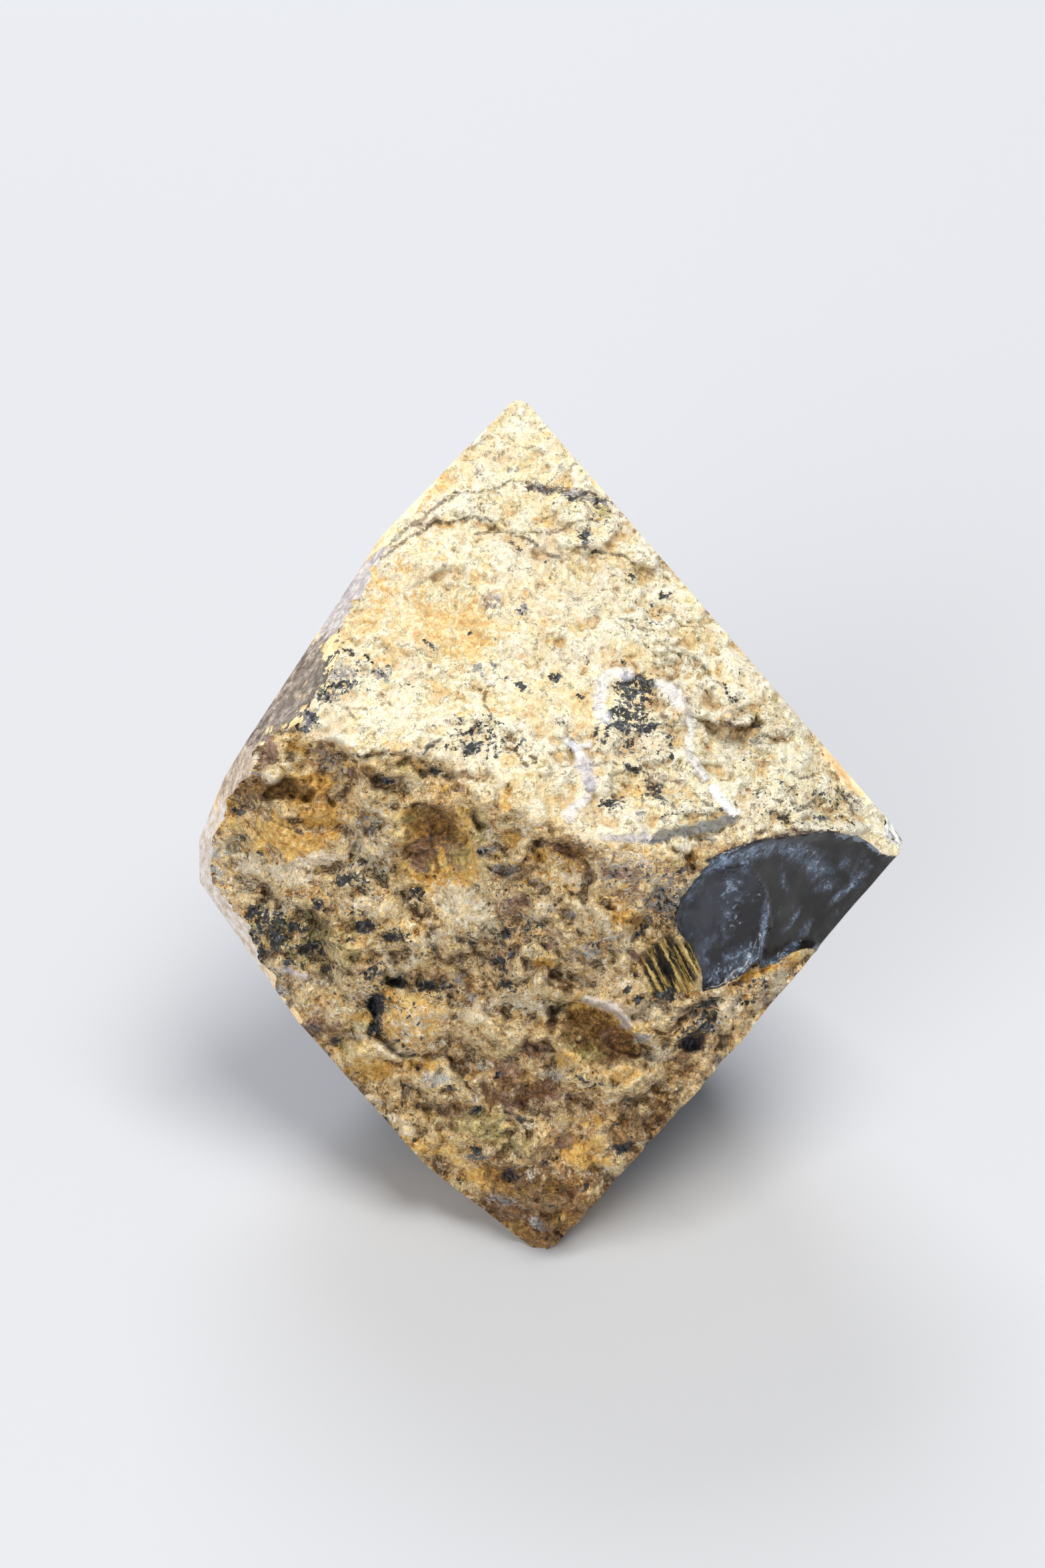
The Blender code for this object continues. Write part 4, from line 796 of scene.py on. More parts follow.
def grains(x, y, size, salt, stretch=1.0, turn=0.0, sharp=14.0):
    """Heights of broken grains, each with a tilt of its own."""
    u, v = turned(*torn(x, y, 0.3 * size, size * 1.1, (salt + 71, salt + 81), 3), turn)
    u /= size * stretch
    v /= size
    column = np.floor(u)
    row = np.floor(v)
    height = np.zeros_like(x)
    weights = np.zeros_like(x)
    for right in (-1, 0, 1):
        for top in (-1, 0, 1):
            cell_u = column + right
            cell_v = row + top
            gap_u = u - cell_u - scramble(cell_u, cell_v, salt)
            gap_v = v - cell_v - scramble(cell_u, cell_v, salt + 1)
            tilt_u = scramble(cell_u, cell_v, salt + 2) - 0.5
            tilt_v = scramble(cell_u, cell_v, salt + 3) - 0.5
            own = scramble(cell_u, cell_v, salt + 4)
            weight = np.exp(-sharp * (gap_u ** 2 + gap_v ** 2))
            height += weight * (own - 0.5 + 1.4 * (tilt_u * gap_u + tilt_v * gap_v))
            weights += weight
    return height / np.maximum(weights, 1e-9)


def layers(x, y, spacing, turn, salt, octaves=3):
    """Wavy laminations that run along one direction."""
    u, v = turned(x, y, turn)
    return rubble(u / 5.0, v + 0.4 * swell(x, y, 3.0, salt + 50), spacing, salt, octaves)


def ease(low, high, value):
    """Rises smoothly from 0 at low to 1 at high."""
    share = np.clip((value - low) / (high - low), 0.0, 1.0)
    return share * share * (3.0 - 2.0 * share)


def reach(x, y, spot_x, spot_y, half_width, half_height, turn=0.0):
    """Distance from a spot's centre, where 1 is its edge."""
    u, v = turned(x - spot_x, y - spot_y, turn)
    return np.sqrt((u / half_width) ** 2 + (v / half_height) ** 2)


def to_stretch(x, y, x0, y0, x1, y1):
    """Distance in millimetres from a straight stretch of a line."""
    along = ((x - x0) * (x1 - x0) + (y - y0) * (y1 - y0)) / ((x1 - x0) ** 2 + (y1 - y0) ** 2)
    along = np.clip(along, 0.0, 1.0)
    return np.hypot(x - x0 - along * (x1 - x0), y - y0 - along * (y1 - y0))


def inside(x, y, outline):
    """Distance in millimetres inside a closed outline, negative outside."""
    gap = np.full_like(x, 1e9)
    within = np.zeros(x.shape, bool)
    for (x0, y0), (x1, y1) in zip(outline, outline[1:] + outline[:1]):
        gap = np.minimum(gap, to_stretch(x, y, x0, y0, x1, y1))
        crosses = (y0 > y) != (y1 > y)
        if y1 != y0:
            within ^= crosses & (x < (x1 - x0) * (y - y0) / (y1 - y0) + x0)
    return np.where(within, gap, -gap)


def from_line(x, y, line):
    """Distance in millimetres from an open line, positive on the left of its direction."""
    gap = np.full_like(x, 1e9)
    side = np.ones_like(x)
    for (x0, y0), (x1, y1) in zip(line, line[1:]):
        reached = to_stretch(x, y, x0, y0, x1, y1)
        leftward = (x1 - x0) * (y - y0) - (y1 - y0) * (x - x0)
        side = np.where(reached < gap, np.sign(leftward), side)
        gap = np.minimum(gap, reached)
    return gap * np.where(side == 0.0, 1.0, side)


def close_to(x, y, xs, ys, margin):
    """The points of arrays that lie within a margin of a group of stations."""
    wide = (x > min(xs) - margin) & (x < max(xs) + margin)
    return np.nonzero(wide & (y > min(ys) - margin) & (y < max(ys) + margin))[0]


def covered(x, y, spots):
    """How densely a list of spots covers each point: a spot's own density fades to half at its edge."""
    cover = np.zeros_like(x)
    for spot_x, spot_y, half_width, half_height, turn, density in spots:
        near = close_to(x, y, (spot_x,), (spot_y,), 1.6 * max(half_width, half_height))
        distance = reach(x[near], y[near], spot_x, spot_y, half_width, half_height, turn)
        cover[near] = np.maximum(cover[near], density * np.clip(1.5 - distance, 0.0, 1.0))
    return cover


def threaded(x, y, threads, waver, salt):
    """Closeness to a list of lines, 1 on one and 0 beyond THREAD_REACH, and the nearest one's strength."""
    bent_x, bent_y = torn(x, y, waver, 1.1, (salt, salt + 9), 3, 0.5)
    closeness = np.zeros_like(x)
    strength = np.zeros_like(x)
    for width, own, line in threads:
        xs, ys = zip(*line)
        near = close_to(bent_x, bent_y, xs, ys, THREAD_REACH + width)
        gap = np.abs(from_line(bent_x[near], bent_y[near], line))
        close = np.clip(1.0 - (gap - width) / THREAD_REACH, 0.0, 1.0)
        strength[near] = np.where(close > closeness[near], own, strength[near])
        closeness[near] = np.maximum(closeness[near], close)
    return closeness, strength


def ridge_near(across, spread):
    """Height and depth of the ridge, averaged over a stretch on both sides of each station."""
    stations, ups, depths = zip(*RIDGE)
    up = np.zeros_like(across)
    depth = np.zeros_like(across)
    for share in np.linspace(-1.0, 1.0, RIDGE_SAMPLES):
        up += np.interp(across + share * spread, stations, ups) / RIDGE_SAMPLES
        depth += np.interp(across + share * spread, stations, depths) / RIDGE_SAMPLES
    return up, depth


def roof(x, y):
    """The two plain faces of the crust and the height above the ridge."""
    first_up, _ = ridge_near(x, np.full_like(x, RIDGE_ROUNDING))
    spread = RIDGE_ROUNDING + RIDGE_FADE * np.abs(y - first_up)
    ridge_up, ridge_depth = ridge_near(x, spread)
    above = y - ridge_up
    mean_slope = (UPPER_SLOPE + LOWER_SLOPE) / 2.0
    slope_bias = (UPPER_SLOPE - LOWER_SLOPE) / 2.0
    depth = ridge_depth - mean_slope * np.hypot(above, RIDGE_ROUNDING) - slope_bias * above
    return depth, y - first_up


def grain_relief(x, y, upper, calm):
    """Height of the lumps and pits of the lower face, and of the flakes of the upper one."""
    slabs = grains(x, y, 4.4, 151, 1.4, -16.0, 22.0)
    facets = grains(x, y, 1.7, 131, 1.35, -12.0, 24.0)
    chips = grains(x, y, 0.8, 231, 1.3, -14.0, 24.0)
    lumps = 0.7 * billows(x, y, 4.8, 31) + 0.6 * facets + 0.4 * chips
    lumps += 0.36 * billows(x, y, 1.8, 331, 4, 0.6)
    lumps -= 0.45 * pits(x, y, 3.2, 361) + 0.2 * pits(x, y, 1.25, 371)
    lumps += 0.12 * layers(x, y, 0.7, 12.0, 431) + 2.0 * slabs
    stepped = terraces(rubble(x / 1.15 + 3.1, y, 3.4, 401, 4, 0.6), 0.26, 0.16)
    flakes = 0.7 * stepped + 0.16 * facets + 0.26 * chips
    flakes += 0.2 * billows(x, y, 0.9, 341) - 0.16 * pits(x, y, 1.0, 381) + 1.1 * slabs
    flakes += 0.3 * billows(x, y, 3.4, 351)
    flakes *= 1.0 + 0.4 * ease(3.0, 11.0, x)
    relief = 1.15 * lumps + (flakes - 1.15 * lumps) * upper
    rough = 0.75 + 0.5 * ease(-0.5, 0.5, rubble(x, y, 6.5, 461, 2))
    return relief * rough * (1.0 - 0.75 * calm)


def place_features(x, y, depth):
    """Adds the ledges, holes and beads to the crust's depth."""
    bent_x, bent_y = torn(x, y, 0.36, 1.5, (501, 511), 4)
    for fall, fade, line in LEDGES:
        xs, ys = zip(*line)
        near = close_to(bent_x, bent_y, xs, ys, 2.5 * fade)
        gap = -from_line(bent_x[near], bent_y[near], line)
        past_ends = np.hypot(
            np.maximum(np.maximum(min(xs) - bent_x[near], bent_x[near] - max(xs)), 0.0),
            np.maximum(np.maximum(min(ys) - bent_y[near], bent_y[near] - max(ys)), 0.0) * 0.2,
        )
        under = ease(-0.08, 0.22, gap) * np.exp(-(np.maximum(gap, 0.0) / fade) ** 1.5)
        depth[near] -= fall * under * np.exp(-(past_ends / 0.5) ** 2)
    for hole_x, hole_y, half_width, half_height, turn, fall in HOLES:
        near = close_to(bent_x, bent_y, (hole_x,), (hole_y,), 1.6 * max(half_width, half_height))
        distance = reach(bent_x[near], bent_y[near], hole_x, hole_y, half_width, half_height, turn)
        depth[near] -= fall * (1.0 - ease(0.5, 1.15, distance))
    for bead_x, bead_y, radius, height in BEADS:
        near = close_to(x, y, (bead_x,), (bead_y,), 1.6 * radius)
        wide_x = x[near] + 0.3 * (bent_x[near] - x[near])
        wide_y = y[near] + 0.3 * (bent_y[near] - y[near])
        distance = reach(wide_x, wide_y, bead_x, bead_y, radius, radius)
        depth[near] += height * np.sqrt(np.clip(1.0 - distance ** 2, 0.0, 1.0))
    return depth


def scooped(x, y, bowls):
    """How deep a list of smooth shell-shaped hollows goes at each point, where the deepest one counts."""
    deepest = np.zeros_like(x)
    for middle_x, middle_y, half_width, half_height, turn, fall, rim in bowls:
        distance = reach(x, y, middle_x, middle_y, half_width, half_height, turn)
        deepest = np.maximum(deepest, fall * np.clip(rim - distance ** 2, 0.0, None))
    return deepest


def worn_edge(x, y, depth):
    """Rolls the crust back where it meets the polished facets, as on an edge that was ground and tumbled."""
    points = lift_all(x, y, depth)
    gap = np.full_like(x, 1e9)
    for point, normal in narrow_facets() + bevels():
        gap = np.minimum(gap, (np.array(point) - points) @ np.array(normal) / MM)
    gap += 0.3 * rubble(x, y, 1.6, 921, 4, 0.6)
    wear = bpy.context.scene.opal_settings.edge_wear
    return depth - wear * (1.0 - ease(-0.2, 1.1, gap)) - 0.35 * wear * (1.0 - ease(0.0, 3.5, gap))


def crust(x, y):
    """Depth of the finished crust, and what its colours follow, for arrays of across and up."""
    base, above = roof(x, y + 0.45 * rubble(x, y, 4.2, 5, 3))
    above += 0.3 * rubble(x, y, 1.6, 3, 4, 0.6) + 0.5 * rubble(x, y, 4.0, 7, 2) - 0.15
    mixing = 0.5 + 1.3 * ease(-13.0, -9.0, x) * (1.0 - ease(1.0, 7.0, x))
    upper = ease(-1.0, 1.0, above / mixing)
    wander = 0.12 * rubble(x, y, 1.2, 701, 4, 0.6)
    torn_x, torn_y = torn(x, y, 0.3, 1.3, (711, 721), 4, 0.65)
    lens = inside(x + wander, y - wander, OPAL_LENS)
    window = inside(x - wander, y + wander, OPAL_WINDOW)
    opal = np.clip(0.5 + np.maximum(lens, window) / 0.5, 0.0, 1.0)
    rims, rim_tone = threaded(x, y, RIMS, 0.2, 601)
    threads, thread_tone = threaded(x, y, THREADS, 0.2, 621)
    fibre_x, fibre_y, fibre_w, fibre_h, fibre_turn = FIBRES
    fibrous = 1.0 - ease(0.8, 1.15, reach(torn_x, torn_y, fibre_x, fibre_y, fibre_w, fibre_h, fibre_turn))
    calm = np.clip(covered(x, y, CALM), 0.0, 1.0)

    broad = base + 0.6 * rubble(x, y, 13.0, 11, 2)
    depth = broad + 0.45 * (1.0 - 0.5 * upper) * rubble(x, y, 6.0, 21, 2)
    for spot_x, spot_y, half_width, half_height, turn, stand in SWELLINGS:
        depth += stand * np.exp(-reach(x, y, spot_x, spot_y, half_width, half_height, turn) ** 2)
    relief = grain_relief(x, y, upper, calm) * bpy.context.scene.opal_settings.grain
    rim = ease(0.5, 0.95, rims)
    depth = place_features(x, y, depth + relief * (1.0 - 0.7 * rim)) + RIM_STAND * rim
    pit = reach(x + 2.0 * wander, y + 2.0 * wander, *PIT)
    lobes = np.zeros_like(x)
    for lobe_x, lobe_y, half_width, half_height, height in PIT_LOBES:
        lobes += height * np.exp(-reach(x, y, lobe_x, lobe_y, half_width, half_height) ** 2)
    depth += (1.0 - ease(0.6, 1.05, pit)) * (lobes - PIT_DEPTH)
    along, aside = turned(x, y, FIBRE_TURN)
    strands = rubble(along / 7.0, aside, 0.8, 801, 3, 0.6)
    depth += fibrous * (0.45 * strands - 0.5 - 0.85 * relief)
    depth -= THREAD_DEPTH * ease(0.86, 1.0, threads)

    bowls = np.where(lens > 0.0, scooped(x, y, LENS_BOWLS), scooped(x, y, WINDOW_BOWLS))
    smooth = broad + 0.04 * rubble(x, y, 2.6, 81, 3)
    opal_depth = smooth - OPAL_DEPTH - bowls * ease(-0.2, 0.8, np.maximum(lens, window))
    depth = depth + (opal_depth - depth) * ease(0.3, 0.7, opal)
    depth = worn_edge(x, y, depth)

    marks = {
        "upper": upper,
        "opal": opal,
        "lens": np.clip(0.5 + lens / 0.3, 0.0, 1.0),
        "rim": rims,
        "rim_tone": rim_tone,
        "fibrous": fibrous,
        "thread": threads,
        "thread_tone": thread_tone,
        "black": np.maximum(covered(torn_x, torn_y, BLACK), 0.85 * covered(torn_x, torn_y, PEPPER)),
        "haze": covered(x, y, HAZE_AND_SHEEN),
    }
    for name, spots in STAINS:
        marks[name] = covered(torn_x, torn_y, spots)
    return depth, marks


def blurred(values, radius):
    """A grid of values, averaged twice over squares of a radius in millimetres."""
    cells = max(1, round(radius / GRID_STEP))
    for _ in range(4):
        padded = np.pad(values, ((cells + 1, cells), (0, 0)), mode="edge")
        sums = np.cumsum(padded, axis=0)
        values = ((sums[2 * cells + 1:] - sums[:-2 * cells - 1]) / (2 * cells + 1)).T
    return values


def facet(start, end, facing):
    """Plane through two points of the front, turned from the outline's side towards the eye."""
    a = lift(*start)
    along = (lift(*end) - a).normalized()
    outward = TOWARDS_EYE.cross(along).normalized()
    if outward.dot(a - MIDDLE * MM) < 0.0:
        outward.negate()
    face_on = along.cross(outward).normalized()
    if face_on.dot(TOWARDS_EYE) < 0.0:
        face_on.negate()
    lean = math.radians(facing)
    return a, outward * math.cos(lean) + face_on * math.sin(lean)


def narrow_facets():
    """Planes of the narrow polished facets along the outline, as a point and a normal each."""
    return [facet(start, end, facing) for start, end, facing, *_ in SIDES]


def bevels():
    """Planes of the bevels that lead from the narrow facets to the crust."""
    planes = []
    for start, end, _, *widths in SIDES:
        if max(widths) == 0.0:
            continue
        side = Vector((end[0] - start[0], end[1] - start[1]))
        inward = Vector((-side.y, side.x)).normalized()
        shares = np.array(BEVEL_STATIONS)
        xs = start[0] + side.x * shares + inward.x * np.array(widths)
        ys = start[1] + side.y * shares + inward.y * np.array(widths)
        depths, _ = roof(xs, ys)
        planes.append(facet((xs[0], ys[0], depths[0]), (xs[1], ys[1], depths[1]), BEVEL_FACING))
    return planes


def rounded_corners():
    """Planes that round the corners of the outline, between one narrow facet and the next."""
    planes = []
    facets = narrow_facets()
    for (_, before), (corner, after) in zip(facets[-1:] + facets[:-1], facets):
        turn = before.angle(after)
        if turn > CORNER_LEAST:
            for share in CORNER_SHARES:
                normal = before.lerp(after, share).normalized()
                lean = normal.angle((before + after).normalized())
                back = CORNER_ROUNDING * (math.cos(lean) / math.cos(turn / 2.0) - 1.0)
                planes.append((corner - normal * back * MM, normal))
    return planes


def back_hull():
    """The closed form behind the outline, as a mesh in metres that is used for its planes only."""
    mesh = bpy.data.meshes.new("back_hull")
    corners = [lift(*start) for start, *_ in SIDES] + [Vector(corner) * MM for corner in BACK_CORNERS]
    mesh.from_pydata(corners, [], [])
    hull = bpy.data.objects.new("back_hull", mesh)
    bpy.context.scene.collection.objects.link(hull)
    only(hull)
    bpy.ops.object.mode_set(mode="EDIT")
    bpy.ops.mesh.select_all(action="SELECT")
    bpy.ops.mesh.convex_hull(join_triangles=False)
    bpy.ops.mesh.dissolve_limited(angle_limit=math.radians(2.0))
    bpy.ops.mesh.normals_make_consistent(inside=False)
    bpy.ops.object.mode_set(mode="OBJECT")
    return hull


def back_facets():
    """Planes of the large polished facets, and of the fine chamfers that soften their edges."""
    hull = back_hull()
    mesh = hull.data
    facets = []
    behind = set()
    for face in mesh.polygons:
        if face.normal.dot(TOWARDS_EYE) < 0.0:
            behind.add(face.index)
            facets.append((face.center.copy(), face.normal.copy()))
    sides = {}
    for face in mesh.polygons:
        for key in face.edge_keys:
            sides.setdefault(key, []).append(face.index)
    chamfers = []
    for (first, last), faces in sides.items():
        if len(faces) == 2 and set(faces) <= behind:
            normal = (mesh.polygons[faces[0]].normal + mesh.polygons[faces[1]].normal).normalized()
            middle = (mesh.vertices[first].co + mesh.vertices[last].co) / 2.0
            chamfers.append((middle - normal * CHAMFER * MM, normal))
    bpy.data.objects.remove(hull, do_unlink=True)
    return facets, chamfers


def only(item):
    """Selects one object and makes it active."""
    bpy.ops.object.select_all(action="DESELECT")
    item.select_set(True)
    bpy.context.view_layer.objects.active = item


def read_all(items, name):
    """One vector of each of a mesh's vertices or faces, as rows."""
    values = np.zeros(len(items) * 3)
    items.foreach_get(name, values)
    return values.reshape(-1, 3)


def select_rim():
    """In edit mode, selects the open edges of a sheet and nothing else."""
    bpy.ops.mesh.select_mode(type="EDGE")
    bpy.ops.mesh.select_all(action="DESELECT")
    bpy.ops.mesh.select_non_manifold()


def raise_rim(height):
    """Extrudes the selected edges straight up, or straight down."""
    bpy.ops.mesh.extrude_edges_move(TRANSFORM_OT_translate={"value": (0.0, 0.0, height)})


def rough_block():
    """A deep block whose front is the crust, before anything is cut away."""
    columns = round(2.0 * GRID_HALF_WIDTH / GRID_STEP)
    rows = round(2.0 * GRID_HALF_HEIGHT / GRID_STEP)
    bpy.ops.object.select_all(action="DESELECT")
    bpy.ops.mesh.primitive_grid_add(x_subdivisions=columns, y_subdivisions=rows, size=2.0)
    block = bpy.context.active_object
    block.name = "dendritic_opal"
    block.scale = (GRID_HALF_WIDTH, GRID_HALF_HEIGHT, 1.0)
    bpy.ops.object.transform_apply(location=False, rotation=False, scale=True)
    mesh = block.data
    front = len(mesh.vertices)
    points = read_all(mesh.vertices, "co")
    front_depth, marks = crust(points[:, 0].copy(), points[:, 1].copy())
    grid = front_depth.reshape(rows + 1, columns + 1)
    # How far each point is sunk below its neighbours. The crust material darkens sunk points, partly dirt
    # and partly painted shade, and lightens crests, partly wear and partly a painted highlight.
    sunk = (blurred(grid, HOLLOW_REACH) - grid) / (2.0 * HOLLOW_DEPTH)
    marks["hollow"] = np.clip(0.5 + sunk, 0.0, 1.0).ravel()
    for name in MARKS:
        mesh.attributes.new(name, "FLOAT", "POINT").data.foreach_set("value", marks[name].astype(np.float32))
    bpy.ops.object.mode_set(mode="EDIT")
    select_rim()
    raise_rim(BLOCK_BACK)
    bpy.ops.mesh.edge_face_add()
    bpy.ops.mesh.select_all(action="SELECT")
    bpy.ops.mesh.normals_make_consistent(inside=False)
    bpy.ops.object.mode_set(mode="OBJECT")
    points = read_all(mesh.vertices, "co")
    depth = np.full(len(points), BLOCK_BACK)
    depth[:front] = front_depth
    mesh.vertices.foreach_set("co", lift_all(points[:, 0], points[:, 1], depth).ravel())
    mesh.update()
    return block


def cut(planes):
    """Cuts the block in edit mode along each plane, and closes each cut with a polished face."""
    for point, normal in planes:
        bpy.ops.mesh.select_all(action="SELECT")
        bpy.ops.mesh.bisect(
            plane_co=point, plane_no=normal, use_fill=True, clear_outer=True, threshold=CUT_WELD
        )


def add_node(tree, kind, settings=None, inputs=None):
    """Adds a node, sets its properties, and sets its inputs or links them to nodes or sockets."""
    made = tree.nodes.new("ShaderNode" + kind)
    for name, value in (settings or {}).items():
        setattr(made, name, value)
    for name, value in (inputs or {}).items():
        if isinstance(value, bpy.types.Node):
            value = value.outputs[0]
        if isinstance(value, bpy.types.NodeSocket):
            tree.links.new(value, made.inputs[name])
        else:
            made.inputs[name].default_value = value
    return made


def as_colour(colour):
    """Linear colour with alpha of an sRGB hex text, or of a colour setting."""
    return hex_colour(colour) if isinstance(colour, str) else (*colour, 1.0)


def new_material(name):
    """A new material, its node tree, its shader's sockets, and a place on the stone in millimetres."""
    material = bpy.data.materials.new(name)
    material.use_nodes = True
    tree = material.node_tree
    own = add_node(tree, "TexCoord").outputs["Object"]
    place = add_node(tree, "VectorMath", {"operation": "SCALE"}, {0: own, 3: 1.0 / MM})
    return material, tree, tree.nodes["Principled BSDF"].inputs, place


def stained(tree, base, amount, layer, stops=()):
    """Lays a colour over a base by an amount: a fixed colour, another node's, or one that the layer's
    value picks from stops."""
    if stops:
        layer = add_node(tree, "ValToRGB", None, {0: layer})
        elements = layer.color_ramp.elements
        for place, (position, colour) in enumerate(stops):
            stop = elements[place] if place < 2 else elements.new(position)
            stop.position = position
            stop.color = as_colour(colour)
    base, layer = [hex_colour(part) if isinstance(part, str) else part for part in (base, layer)]
    return add_node(tree, "Mix", {"data_type": "RGBA"}, {0: amount, 6: base, 7: layer}).outputs[2]


def ragged(tree, density, scatter, spread, softness, strength=1.0):
    """Ragged patches that cover more of the stone where a mark, or another value, is higher."""
    shift = add_node(tree, "Math", TIMES_PLUS, {0: scatter, 1: spread, 2: -0.5 * spread})
    both = add_node(tree, "Math", None, {0: density, 1: shift})
    return add_node(
        tree, "MapRange", SMOOTH, {0: both, 1: 0.5 - softness, 2: 0.5 + softness, 4: strength}
    ).outputs[0]


def cloudy(tree, place, size, detail, roughness):
    """Cloudy noise with spots of a size in millimetres: its value and three more that differ."""
    clouds = add_node(tree, "TexNoise", None, {
        "Vector": place, "Scale": 1.0 / size, "Detail": detail, "Roughness": roughness,
    })
    parts = add_node(tree, "SeparateColor", None, {0: clouds.outputs["Color"]}).outputs
    return [
        add_node(tree, "MapRange", None, {0: part, 1: CLOUD_LOW, 2: CLOUD_HIGH}).outputs[0]
        for part in (clouds.outputs[0], parts[0], parts[1], parts[2])
    ]


def combed(tree, place, turn, length, width):
    """Noise drawn out into strands, turned by an angle as the front is seen."""
    angle = math.radians(turn)
    along = ACROSS * math.cos(angle) + UP_THE_FRONT * math.sin(angle)
    aside = UP_THE_FRONT * math.cos(angle) - ACROSS * math.sin(angle)
    drawn = add_node(tree, "CombineXYZ", None, {
        slot: add_node(tree, "VectorMath", {"operation": "DOT_PRODUCT"}, {0: place, 1: axis}).outputs[1]
        for slot, axis in enumerate((along / length, aside / width))
    })
    return add_node(tree, "TexNoise", None, {
        "Vector": drawn, "Scale": 1.0, "Detail": 4.0, "Roughness": 0.62,
    }).outputs[0]


def crust_material():
    """Weathered crust of the opal: a granular host rock of cream and tan grains, iron stained, with
    manganese, matt apart from glinting grains, and glassy where opal and chalcedony lie bare."""
    look = bpy.context.scene.opal_settings
    material, tree, surface, place = new_material("opal crust, weathered")
    mark = {name: add_node(tree, "Attribute", {"attribute_name": name}).outputs["Fac"] for name in MARKS}
    upper = mark["upper"]
    _, wide_r, wide_g, wide_b = cloudy(tree, place, 4.5, 4.0, 0.6)
    broad, broad_r, broad_g, broad_b = cloudy(tree, place, 1.7, 7.0, 0.68)
    close, close_r, close_g, close_b = cloudy(tree, place, 0.5, 5.0, 0.72)
    fine, fine_r, _, _ = cloudy(tree, place, 0.2, 3.0, 0.7)
    flaked = combed(tree, place, -14.0, 1.5, 0.42)
    nudge = add_node(tree, "CombineXYZ", None, {0: close_r, 1: close_g, 2: close_b})
    bent = add_node(tree, "VectorMath", TIMES_PLUS, {0: nudge, 1: (0.5, 0.5, 0.5), 2: place})
    cells = add_node(tree, "TexVoronoi", None, {"Vector": bent, "Scale": 1.0 / GRAIN_SIZE})
    cell_parts = add_node(tree, "SeparateColor", None, {0: cells.outputs["Color"]}).outputs

    # Tone of the host rock: fine and coarse clouds together, paler above the ridge than below.
    mixed = add_node(tree, "Mix", None, {0: 0.5, 2: broad_r, 3: close_r})
    lower_tone = stained(tree, "#000000", 1.0, mixed, (
        (0.14, "#4c2c10"), (0.28, "#aa742e"), (0.4, "#eaba68"), (0.5, "#fbdc98"), (0.57, "#dcba88"),
        (0.67, "#fdecbe"), (0.82, "#fffdf0"),
    ))
    lower_tone = stained(tree, lower_tone, ragged(tree, 0.38, wide_r, 1.1, 0.2, 0.66), close_g, (
        (0.2, "#8f5a22"), (0.5, "#d89a48"), (0.8, "#f0c684"),
    ))
    lower_tone = stained(tree, lower_tone, ragged(tree, 0.34, wide_g, 1.1, 0.2, 0.5), close_b, (
        (0.2, "#7a5c40"), (0.5, "#b99570"), (0.8, "#e2caaa"),
    ))
    upper_tone = stained(tree, "#000000", 1.0, mixed, (
        (0.14, "#e6ce98"), (0.3, "#f5e8be"), (0.44, "#fdf8da"), (0.56, "#fffdea"), (0.64, "#f8f1d8"),
        (0.8, look.cream),
    ))
    upper_tone = stained(tree, upper_tone, ragged(tree, 0.34, wide_b, 1.1, 0.25, 0.7), close_g, (
        (0.25, "#eecd8c"), (0.75, "#fef2c8"),
    ))
    upper_tone = stained(tree, upper_tone, ragged(tree, 0.3, wide_r, 1.1, 0.25, 0.5), close_b, (
        (0.2, "#e2d0b8"), (0.8, "#fbf4e6"),
    ))
    colour = stained(tree, lower_tone, upper, upper_tone)

    # Hollows are darkened, partly by dirt and iron that settle there and partly as painted shade, and crests
    # are paler, partly rubbed and partly a painted highlight.
    sunk = add_node(tree, "Math", TIMES_PLUS, {0: close_b, 1: 0.24, 2: -0.12})
    sunk = add_node(tree, "Math", None, {0: mark["hollow"], 1: sunk})
    dirt_and_shade = add_node(tree, "MapRange", SMOOTH, {0: sunk, 1: 0.56, 2: 0.92})
    deepness = add_node(tree, "MapRange", None, {0: upper, 3: 0.84, 4: 0.66})
    dirt_and_shade = add_node(tree, "Math", TIMES, {0: dirt_and_shade, 1: deepness})
    colour = stained(tree, colour, dirt_and_shade, stained(tree, "#482a0e", upper, "#dbb070"))
    crest = add_node(tree, "MapRange", SMOOTH, {0: sunk, 1: 0.44, 2: 0.1, 4: 0.58})
    colour = stained(tree, colour, crest, stained(tree, "#f2dba6", upper, "#fffdf0"))

    # Fine grain, dark against light, stronger below the ridge.
    sandy = add_node(tree, "MapRange", None, {0: upper, 3: 0.45, 4: 0.06})
    dark_grain = add_node(tree, "MapRange", None, {0: fine, 1: 0.42, 2: 0.05})
    dark_grain = add_node(tree, "Math", TIMES, {0: dark_grain, 1: sandy})
    colour = stained(tree, colour, dark_grain, upper, ((0.2, "#5a3c1e"), (0.8, "#c9985a")))
    light_grain = add_node(tree, "MapRange", None, {0: fine_r, 1: 0.62, 2: 0.95})
    light_grain = add_node(tree, "Math", TIMES, {0: light_grain, 1: sandy})
    colour = stained(tree, colour, light_grain, "#ffefc6")

    # Separate grains, some darker and some paler than their neighbours.
    grainy = add_node(tree, "MapRange", None, {0: upper, 3: 1.0, 4: 0.4})
    for part, tone in ((0, "#5a3d1f"), (1, "#fff3d6")):
        odd = add_node(tree, "MapRange", None, {0: cell_parts[part], 1: 0.7, 2: 0.84, 4: 0.38})
        colour = stained(tree, colour, add_node(tree, "Math", TIMES, {0: odd, 1: grainy}), tone)

